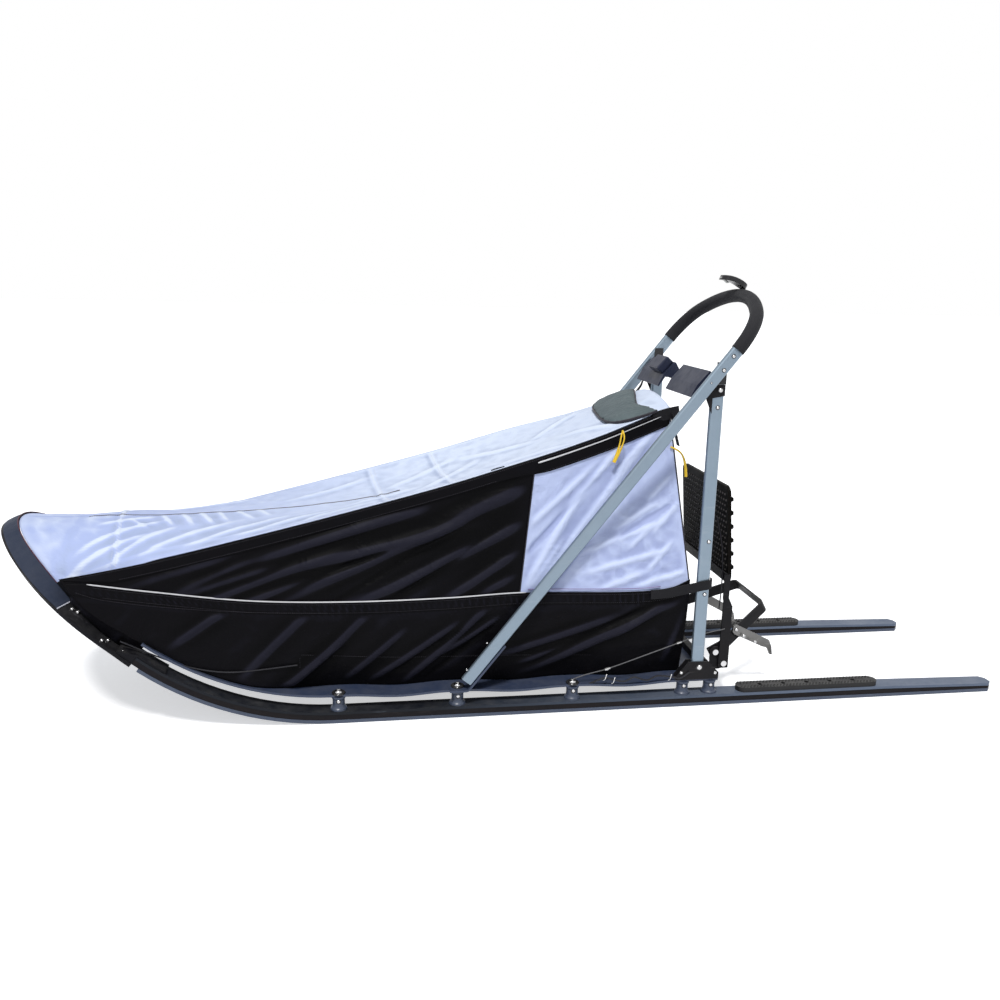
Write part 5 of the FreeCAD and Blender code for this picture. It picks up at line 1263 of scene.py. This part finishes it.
middle = (cover["columns"] - 1) / 2
centreRows = np.linspace(*(rowAtX(coverGrid, middle, x) for x in trim["centreX"]), trim["centrePoints"])
centreColumns = np.full(trim["centrePoints"], middle)
centreSeam = surfacePath(coverGrid, centreRows, centreColumns, (0, 0, 0.6))
addMesh("coverSeam", carry(centreSeam, circle(trim["centreRadius"], 6), (0, 1, 0)), "seamDark")
lightStitches = []
for seam in cover["seams"]:
    for offset in (-stitch["besideSeam"], stitch["besideSeam"]):
        line = crossSeam(seam + offset, np.linspace(2, cover["columns"] - 3, 80), stitch["lift"])
        lightStitches.append(stitchRow(line, stitch["seamLength"], stitch["seamPitch"], stitch["seamWidth"]))
for offset in (stitch["besideMiddle"], -stitch["besideMiddle"]):
    line = surfacePath(coverGrid, centreRows, centreColumns + offset, (0, 0, stitch["lift"]))
    lightStitches.append(stitchRow(line, stitch["seamLength"], stitch["seamPitch"]))
addMesh("lightStitches", join(lightStitches), "whiteThread")
print("trim done")

# padded flap
flap = {"outline": [(-207, 20), (-222, -84), (-246, -144), (-286, -168), (-330, -158), (-343, -104),
                    (-328, -30), (-308, 46), (-299, 100), (-310, 146), (-326, 178), (-282, 176), (-244, 170),
                    (-216, 150), (-204, 100)],
        "centre": (-262, 20), "thick": 11.0, "under": 2.5, "seat": 2.0, "lift": 3.0, "curl": 4.0,
        "curlY": (-10, 130), "curlX": (-200, 110), "rings": 12, "around": 72, "innermost": 0.97,
        "quilt": (0.75, 0.5, 95, 4), "bindShare": 0.975, "bindPoints": 140, "bindRadius": 3.2,
        "bindFlat": 0.8}
puffing = {"voxel": 0.003, "pressure": 3.0, "frames": 12, "most": 0.006, "quality": 5}


# Closed smooth outline through the flap's corners.
def flapEdge(count):
    points = np.array(flap["outline"] + flap["outline"][:1], float)
    closed = np.concatenate([points[-3:-1], points, points[1:3]])
    knots = np.arange(len(closed), dtype=float)
    s = np.linspace(2, 2 + len(flap["outline"]), count, endpoint=False)
    return np.stack([along(np.stack([knots, closed[:, k]], -1).tolist(), s) for k in range(2)], -1)


# Height of the cover under the flap, from the cover's own parabola.
def flapSeat(x, y):
    half = along(bag["topHalf"], x) - bag["lap"]
    return coverBase(x, np.clip(y / half, -1, 1))[1]


# The far rear part curls up off the cover.
def flapLift(x, y):
    (startY, runY), (startX, runX) = flap["curlY"], flap["curlX"]
    return flap["curl"] * ease((startY - y) / runY) * ease((startX - x) / runX)


# Pillow: rings shrink from the outline to the middle, upper and lower faces swell apart by a square root.
def makeFlap():
    rings, count = flap["rings"], flap["around"]
    edge = flapEdge(count)
    centre = np.array(flap["centre"], float)
    share = np.linspace(0.0, flap["innermost"], rings)
    plan = centre + (edge[None] - centre) * (1 - share)[:, None, None]
    swell = np.sqrt(1 - (1 - share) ** 4)[:, None]
    x, y = plan[..., 0], plan[..., 1]
    ground = flapSeat(x, y) + flap["seat"] + flapLift(x, y) + flap["lift"]
    least, more, size, waves = flap["quilt"]
    quilt = least + more * crumple(x, y, size, waves, 81)
    upper = np.stack([x, y, ground + flap["thick"] * swell * quilt], -1)
    lower = np.stack([x, y, ground - flap["under"] * swell], -1)
    points = np.concatenate([upper[::-1].reshape(-1, 3), lower.reshape(-1, 3)])
    caps = [np.arange(count)[::-1], np.arange(count) + (2 * rings - 1) * count]
    return points, gridQuads(2 * rings, count, True), caps


# Doubles merged, and all faces of a closed shell turned outwards.
def turnOutward(thing):
    shell = bmesh.new()
    shell.from_mesh(thing.data)
    bmesh.ops.remove_doubles(shell, verts=shell.verts, dist=1e-6)
    bmesh.ops.recalc_face_normals(shell, faces=shell.faces)
    shell.to_mesh(thing.data)
    shell.free()


# The points of a mesh as rows of x, y, z.
def pointsOf(mesh):
    flat = np.empty(len(mesh.vertices) * 3)
    mesh.vertices.foreach_get("co", flat)
    return flat.reshape(-1, 3)


# Swells a pad with Cloth: a remeshed copy is inflated for some frames, its move is capped and then kept.
def puff(thing, spec):
    before = len(thing.data.vertices)
    bpy.context.view_layer.objects.active = thing
    remesh = thing.modifiers.new("remesh", "REMESH")
    remesh.mode = "VOXEL"
    remesh.voxel_size = spec["voxel"]
    dense = bpy.data.meshes.new_from_object(thing.evaluated_get(bpy.context.evaluated_depsgraph_get()))
    thing.modifiers.remove(remesh)
    start = pointsOf(dense)
    helper = bpy.data.objects.new("puffing", dense)
    scene.collection.objects.link(helper)
    cloth = helper.modifiers.new("cloth", "CLOTH")
    cloth.settings.use_pressure = True
    cloth.settings.uniform_pressure_force = spec["pressure"]
    cloth.settings.effector_weights.gravity = 0
    cloth.settings.quality = spec["quality"]
    cloth.point_cache.frame_start = 1
    cloth.point_cache.frame_end = spec["frames"]
    for number in range(1, spec["frames"] + 1):
        scene.frame_set(number)
    result = bpy.data.meshes.new_from_object(helper.evaluated_get(bpy.context.evaluated_depsgraph_get()))
    moved = pointsOf(result) - start
    length = np.linalg.norm(moved, axis=1, keepdims=True)
    moved *= np.minimum(1, spec["most"] / np.maximum(length, 1e-9))
    result.vertices.foreach_set("co", (start + moved).ravel())
    material = thing.data.materials[0]
    bpy.data.objects.remove(helper)
    scene.frame_set(1)
    result.materials.clear()
    result.materials.append(material)
    result.shade_smooth()
    if "cloth" not in result.uv_layers:
        setUv(result, (start + moved)[:, :2])
    thing.data = result
    print("puffed", thing.name, before, "to", len(result.vertices), "points")


# Binding round the flap's edge.
def makeBinding():
    centre = np.array(flap["centre"])
    edge = centre + (flapEdge(flap["bindPoints"]) - centre) * flap["bindShare"]
    x, y = np.concatenate([edge, edge[:1]]).T
    z = flapSeat(x, y) + flap["seat"] + flap["lift"] + flapLift(x, y)
    return carry(np.stack([x, y, z], -1), circle(flap["bindRadius"], 8, flap["bindFlat"]), (0, 0, 1))


flapPiece = addMesh("coverFlap", makeFlap(), "flapCloth", sharp=60)
turnOutward(flapPiece)
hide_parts("cover_flap")
puff(flapPiece, puffing)
addMesh("flapBinding", makeBinding(), "seamDark")
print("flap done")


# foam grip
handle = {"footX": 166.0, "footZ": 98.0, "deg": 52.0, "length": 1072.02, "half": 257.0, "corner": 130.0,
          "cornerDeg": 60.0, "lead": 2.0, "grip": 17.6, "points": 60, "ends": [0.86, 0.97]}
strutDir = np.array((-math.cos(math.radians(handle["deg"])), 0, math.sin(math.radians(handle["deg"]))))
strutEnd = np.array((handle["footX"], 0, handle["footZ"])) + strutDir * handle["length"]
handleArc = math.radians(handle["cornerDeg"])
topRadius = handle["corner"] + (handle["half"] - handle["corner"]) / math.cos(handleArc)


# Straight lead, tight corner arc and broad crown arc, mirrored over the middle.
def handleLine(count):
    lead = np.linspace(0, 1, 4, endpoint=False)
    a = np.linspace(0, handleArc, count // 3, endpoint=False)
    b = np.linspace(handleArc, np.pi / 2, count // 4)
    u = np.r_[lead * handle["lead"], handle["lead"] + handle["corner"] * np.sin(a),
              handle["lead"] + handle["corner"] * math.sin(handleArc)
              + topRadius * (np.sin(b) - math.sin(handleArc))]
    y = np.r_[lead * 0 + handle["half"], handle["half"] - handle["corner"] * (1 - np.cos(a)),
              topRadius * np.cos(b)]
    half = strutEnd + strutDir * u[:, None] + np.stack([0 * y, y, 0 * y], -1)
    return np.concatenate([half, (half * np.array((1, -1, 1)))[-2::-1]])


gripPath = handleLine(handle["points"])
gripScale = np.r_[handle["ends"], np.ones(len(gripPath) - 4), handle["ends"][::-1]]
gripNormal = np.cross(strutDir, (0, 1, 0))
gripPiece = addMesh("handleGrip", carry(gripPath, circle(handle["grip"], 24), gripNormal, gripScale),
                    "gripFoam", sharp=60)
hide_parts("handle_grip")
print("grip done")

# bolts and washers: a fitting's rows are x, y, z and radius of its heads
bolts = {
    "head": [(1.0, 0.0), (1.0, 0.35), (0.86, 0.72), (0.62, 0.95), (0.46, 1.0), (0.42, 0.62)],
    "headSides": 18, "washer": [(1.0, 0.0), (1.0, 0.6), (0.93, 1.0)], "washerSides": 24,
    "bedY": 235, "bedZ": [71, 76, 71], "bed": (10.5, 6.0, 3.4), "bedWasher": (17.5, 3.6),
    "riserY": 249.6, "riserZ": 54, "riser": (4.6, 2.6), "riserWasher": (6.4, 1.2),
    "headShare": 0.6, "washerShare": 1.35, "washerThick": 0.9, "washerIn": 0.2,
    "bracket": [(-460.2, 249.4, 105.5, 7.0), (-411, 249.4, 92, 4.2), (-506, 249.4, 88, 4.2)],
    "strut": [(-482.7, 265.2, 929.4, 4.2), (-460.1, 265.2, 895.0, 4.2), (-430.3, 265.2, 863.7, 2.0),
              (115.7, 265.2, 203.6, 2.2), (166.0, 265.2, 132.6, 2.2)],
    "upright": [(-461.1, 246.2, 309.0, 4.2), (-462.1, 246.2, 451.9, 4.2), (-458.8, 246.2, 800.4, 4.2)],
    "topBracket": [(-460.3, 252.0, 844.6, 5.5)],
    "bow": [(196.5, 0.65, 0), (181.9, 0.78, 0), (77.5, 0.65, 0), (89.3, 0.25, 0), (18.0, 0.5, 6.7),
            (34.0, 0.3, 6.7)],
    "bowHead": (4.4, 5.0), "claw": [(-593, 166.6, 175), (-616.4, 166.6, 156.1), (-650.9, 166.6, 137.1)],
    "clawHead": (4.6, 2.8)}
upwards = (0, 0, 1)
outwards = (0, 1, 0)


# Button heads with a round socket, each standing on its place along its axis.
def heads(places, axes, radius, height):
    return turned([(r * radius, h * height) for r, h in bolts["head"]], places, axes, bolts["headSides"])


def washers(places, axes, radius, height):
    return turned([(r * radius, h * height) for r, h in bolts["washer"]], places, axes, bolts["washerSides"])


bedPlaces = np.array([(x, bolts["bedY"], z) for x, z in zip(bed["risers"][:3], bolts["bedZ"])])
riserPlaces = [(x, bolts["riserY"], bolts["riserZ"]) for x in bed["risers"]]
radius, height, lift = bolts["bed"]
bright = [heads(bedPlaces + (0, 0, lift), upwards, radius, height),
          heads(riserPlaces, outwards, *bolts["riser"])]
dark = [washers(bedPlaces, upwards, *bolts["bedWasher"]),
        washers(riserPlaces, outwards, *bolts["riserWasher"])]
for x, y, z, radius in bolts["bracket"] + bolts["strut"] + bolts["upright"] + bolts["topBracket"]:
    bright.append(heads([(x, y, z)], outwards, radius, radius * bolts["headShare"]))
    dark.append(washers([(x, y - bolts["washerIn"], z)], outwards, radius * bolts["washerShare"],
                        bolts["washerThick"]))
addMesh("brightBolts", bothSides(join(bright)), "brightSteel")
addMesh("darkWashers", bothSides(join(dark)), "blackPlastic")

# the hoop's bolts: run along it, share of its width, and how far the clamp lifts them off its face
stations, shares, lifts = np.array(bolts["bow"]).T
edge, across, out, width = bowFrame(stations)
bowPlaces = edge + across * (width * shares)[:, None] + out * (lifts + bow["thick"])[:, None]
addMesh("bowBolts", bothSides(heads(bowPlaces, out, *bolts["bowHead"])), "brightSteel")
addMesh("clawBolts", bothSides(heads(bolts["claw"], outwards, *bolts["clawHead"])), "brightSteel",
        body="brake")
print("fasteners done")


# straps, wires and pulls; a line's points are places on the near side
straps = {
    "cornerStrap": ([(-318, 236.5, 309), (-365, 238.5, 313), (-400, 240.5, 320), (-430, 246.4, 328),
                     (-450, 249.2, 333), (-470, 249.2, 336), (-479.5, 243, 338), (-479.5, 232, 338)], 34,
                    (26, 1.8), (0, 0, 1)),
    "hemCorner": ([(-318, 171, 762), (-345, 169.5, 771), (-365, 168, 776), (-388, 165, 780)], 16, (30, 2.4),
                  (0, 0, 1)),
    "topStrap": ([(-366, 172, 775), (-371, 175, 752), (-378, 178, 722), (-387, 177, 693)], 20, (20, 2.2),
                 (0, 1, 0))}
cordLook = {"order": 3, "steps": 8, "round": 3, "swollenPoints": 2}
cords = {
    "pullSide": {"width": 4.0, "finish": "yellowCord", "swell": 1.7, "far": "knot",
                 "points": [(-228, 206, 737), (-222, 216, 724), (-219, 218, 706), (-214, 218, 684),
                            (-205, 217, 658)]},
    "pullTwin": {"width": 3.6, "finish": "yellowCord", "swell": 1.7, "far": "knot",
                 "points": [(-228, 208, 737), (-231, 218, 724), (-227, 220, 706), (-219, 219, 684),
                            (-207, 218, 657)]},
    "pullRear": {"width": 4.6, "finish": "yellowCord", "swell": 1.7, "far": "knot",
                 "points": [(-366, 179, 690), (-384, 183, 683), (-400, 184, 668), (-409, 184, 636),
                            (-411, 184, 612)]},
    "hookCord": {"width": 4.4, "finish": "blackWebbing", "swell": 1.6, "far": "bare",
                 "points": [(-431, -200, 862), (-418, -202, 838), (-402, -204, 822), (-399, -204, 806),
                            (-384, -203, 788)]}}
stay = {"points": [(-118, 239, 83), (-150, 236, 92), (-213, 230, 104), (-339, 218, 140), (-432, 207, 166),
                   (-490, 197, 180), (-545, 199, 192)],
        "count": 60, "radius": 1.5, "clampAt": (12, 40), "clampRadius": 4.4, "clampShape": [0.8, 1, 0.8]}
lashing = {"elastic": [(-157, 240, 66), (-182, 247, 80), (-203, 250.5, 88), (-224, 249, 81), (-255, 249, 75),
                       (-281, 251, 86), (-317, 249, 75), (-343, 251, 87), (-381, 249, 82), (-408, 250, 77),
                       (-433, 252, 94)],
           "lace": [(1004, 233), (982, 222), (955, 208), (904, 183), (842, 158), (764, 143), (680, 144),
                    (590, 146)],
           "count": 90, "elasticRadius": 2.4, "laceRadius": 1.8, "laceStand": 3.2,
           "hooks": [(-203, 90), (-226, 80), (-381, 82)], "hookRadius": 1.2,
           "hook": [(-3, 251, 8), (0, 253.5, 2), (2, 253, -6), (6, 251, -9)]}
cable = {"points": [(-520, 150, 492), (-538, 150, 420), (-545.5, 150, 358), (-547, 150, 290),
                    (-545, 150, 232)],
         "count": 50, "radius": 1.8}
padStuds = {"x": (-965, -588, 9.4), "y": [217.8, 225.0, 245.0, 252.2], "z": 42.9, "shift": 2.35,
            "profile": [(3.3, 0), (1.2, 2.3)]}
matStuds = {"z": (332, 572, 15.0), "y": (-160, 161, 16.0), "shift": 4.0, "face": (-554.3, 314.9, 0.0822),
            "way": (0.9966, 0, -0.0819), "profile": [(3.4, 0), (2.6, 1.6), (1.2, 2.2)]}
insert = {"points": [(-540, 0, 1121), (-550, 0, 1114.5), (-560, 0, 1107)], "count": 6, "bar": (16, 3.0)}
tab = {"column": 76, "x": (104, 96, 88, 80, 72), "columns": [75.6, 75.4, 75.3, 75.6, 76.2], "lift": 1.6,
       "bar": (9, 1.8)}


# A free cord: one NURBS spline through its control points, thicker at its far end by swell.
def addCord(name, spec):
    curve = bpy.data.curves.new(name, "CURVE")
    curve.dimensions = "3D"
    curve.resolution_u = cordLook["steps"]
    spline = curve.splines.new("NURBS")
    spots = inFrame(spec["points"])
    spline.points.add(len(spots) - 1)
    for number, (point, spot) in enumerate(zip(spline.points, spots)):
        point.co = (*spot, 1.0)
        point.radius = spec["swell"] if number >= len(spots) - cordLook["swollenPoints"] else 1.0
    spline.order_u = cordLook["order"]
    spline.use_endpoint_u = True
    thing = bpy.data.objects.new(name, curve)
    scene.collection.objects.link(thing)
    line = bpy.data.meshes.new_from_object(thing)
    length = float(np.linalg.norm(np.diff(pointsOf(line), axis=0), axis=1).sum())
    bpy.data.meshes.remove(line)
    curve.bevel_depth = spec["width"] / 2000
    curve.bevel_resolution = cordLook["round"]
    curve.use_fill_caps = True
    curve.materials.append(finishes[spec["finish"]])
    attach(thing, "sled")


# Grid of places over two ranges, every second row moved along.
def studPlaces(first, second, shift, axis):
    a, b = np.meshgrid(first, second, indexing="ij")
    if axis == 0:
        return a + shift * (-1) ** np.arange(b.shape[1]), b
    return a, b + shift * (-1) ** np.arange(a.shape[0])[:, None]


webbing = [carry(curveThrough(points, count), roundedBar(*bar), across)
           for points, count, bar, across in straps.values()]
addMesh("webbingStraps", bothSides(join(webbing)), "blackWebbing")
for name, spec in cords.items():
    addCord(name, spec)

stayLine = curveThrough(stay["points"], stay["count"])
stayWire = addMesh("stayWire", carry(stayLine, circle(stay["radius"], 8), (0, 1, 0)), "greyCord", body=None)
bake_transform(stayWire)
clamps = [carry(stayLine[k:k + 3], circle(stay["clampRadius"], 8), (0, 1, 0), stay["clampShape"])
          for k in stay["clampAt"]]
addMesh("wireClamps", join(clamps), "brightSteel")

elastic = curveThrough(lashing["elastic"], lashing["count"])
lace = throughSide(lashing["lace"], lashing["laceStand"], lashing["count"])
laced = [carry(elastic, circle(lashing["elasticRadius"], 8), (0, 1, 0)),
         carry(lace, circle(lashing["laceRadius"], 8), (0, 1, 0))]
addMesh("lashingCords", bothSides(join(laced)), "elasticCord")
hooks = [carry(curveThrough([(x + dx, y, z + dz) for dx, y, dz in lashing["hook"]], 12),
               circle(lashing["hookRadius"], 6), (0, 1, 0)) for x, z in lashing["hooks"]]
addMesh("lashingHooks", bothSides(join(hooks)), "brightSteel")
cablePart = carry(curveThrough(cable["points"], cable["count"]), circle(cable["radius"], 8), (0, 1, 0))
addMesh("matCable", cablePart, "elasticCord", body="mat")

studX, studY = studPlaces(np.arange(*padStuds["x"]), padStuds["y"], padStuds["shift"], 0)
spots = np.stack([studX.ravel(), studY.ravel(), 0 * studX.ravel() + padStuds["z"]], -1)
addMesh("padStuds", bothSides(turned(padStuds["profile"], spots, (0, 0, 1), 4)), "padRubber")
studZ, studY = studPlaces(np.arange(*matStuds["z"]), np.arange(*matStuds["y"]), matStuds["shift"], 1)
faceX, faceZ, lean = matStuds["face"]
spots = np.stack([faceX + (studZ.ravel() - faceZ) * lean, studY.ravel(), studZ.ravel()], -1)
addMesh("matStuds", turned(matStuds["profile"], spots, matStuds["way"], 6), "wornRubber", body="mat")
insertLine = curveThrough(insert["points"], insert["count"])
addMesh("handleInsert", carry(insertLine, roundedBar(*insert["bar"]), (0, 1, 0)), "paleInsert")
tabRows = [rowAtX(coverGrid, tab["column"], x) for x in tab["x"]]
tabLine = surfacePath(coverGrid, tabRows, tab["columns"], (0, 0, tab["lift"]))
addMesh("coverTab", carry(tabLine, roundedBar(*tab["bar"]), (1, 0, 0)), "blackWebbing")
print("straps and wires done")


# light and floor
stage = {"reach": 40.0, "low": -0.0006, "floor": (0.86, 0.86, 0.87, 1), "glow": 0.55,
         "sky": (0.84, 0.90, 1.0, 1), "skyStrength": 0.34}
lamps = {
    "keySun": {"kind": "SUN", "place": (0.6, 1.9, 3.7), "target": (0, 0, 0.3), "energy": 2.6, "angle": 9,
               "colour": (1.0, 0.99, 0.97)},
    "sideSoft": {"kind": "AREA", "place": (0.6, 3.6, 2.6), "target": (0, 0, 0.45), "energy": 9,
                 "size": (2.6, 1.6)}}
white = (1, 1, 1, 1)


# 1 where the camera looks at it straight, in a reflection or through glass, and 0 for other light.
def whereSeen(tree):
    path = put(tree, "ShaderNodeLightPath").outputs
    mirrored = maths(tree, "MAXIMUM", path["Is Glossy Ray"], path["Is Transmission Ray"])
    return maths(tree, "MAXIMUM", path["Is Camera Ray"], mirrored)


# A wide plain floor just under the runners; it glows only where it is seen.
def addFloor():
    reach, low = stage["reach"], stage["low"]
    ground = bpy.data.meshes.new("floor")
    corners = [(-reach, -reach, low), (reach, -reach, low), (reach, reach, low), (-reach, reach, low)]
    ground.from_pydata(corners, [], [(0, 1, 2, 3)])
    floor = bpy.data.objects.new("floor", ground)
    scene.collection.objects.link(floor)
    material = bpy.data.materials.new("paleFloor")
    material.use_nodes = True
    tree = material.node_tree
    tree.nodes.clear()
    lit = put(tree, "ShaderNodeBsdfDiffuse", {"Color": stage["floor"]}).outputs[0]
    strength = maths(tree, "MULTIPLY", whereSeen(tree), stage["glow"])
    glow = put(tree, "ShaderNodeEmission", {"Color": white, "Strength": strength}).outputs[0]
    both = put(tree, "ShaderNodeAddShader", {0: lit, 1: glow}).outputs[0]
    put(tree, "ShaderNodeOutputMaterial", {0: both})
    ground.materials.append(material)


# White behind the sled, and a weaker, cooler light from all round.
def addSky():
    scene.world = bpy.data.worlds.new("softSky")
    scene.world.use_nodes = True
    tree = scene.world.node_tree
    tree.nodes.clear()
    plain = put(tree, "ShaderNodeBackground", {"Color": stage["sky"],
                                               "Strength": stage["skyStrength"]}).outputs[0]
    bright = put(tree, "ShaderNodeBackground", {"Color": white, "Strength": 1.0}).outputs[0]
    mixed = put(tree, "ShaderNodeMixShader", {0: whereSeen(tree), 1: plain, 2: bright}).outputs[0]
    put(tree, "ShaderNodeOutputWorld", {0: mixed})


# A sun with an angle, or a soft rectangular lamp, aimed from its place at its target.
def addLamp(name, spec):
    lamp = bpy.data.lights.new(name, spec["kind"])
    lamp.energy = spec["energy"]
    if spec["kind"] == "AREA":
        lamp.shape = "RECTANGLE"
        lamp.size, lamp.size_y = spec["size"]
    else:
        lamp.angle = math.radians(spec["angle"])
        lamp.color = spec["colour"]
    thing = bpy.data.objects.new(name, lamp)
    aim = Vector(spec["target"]) - Vector(spec["place"])
    thing.matrix_world = aim.to_track_quat("-Z", "Y").to_matrix().to_4x4()
    thing.location = spec["place"]
    scene.collection.objects.link(thing)


addFloor()
addSky()
for name, spec in lamps.items():
    addLamp(name, spec)
print("stage and light done")
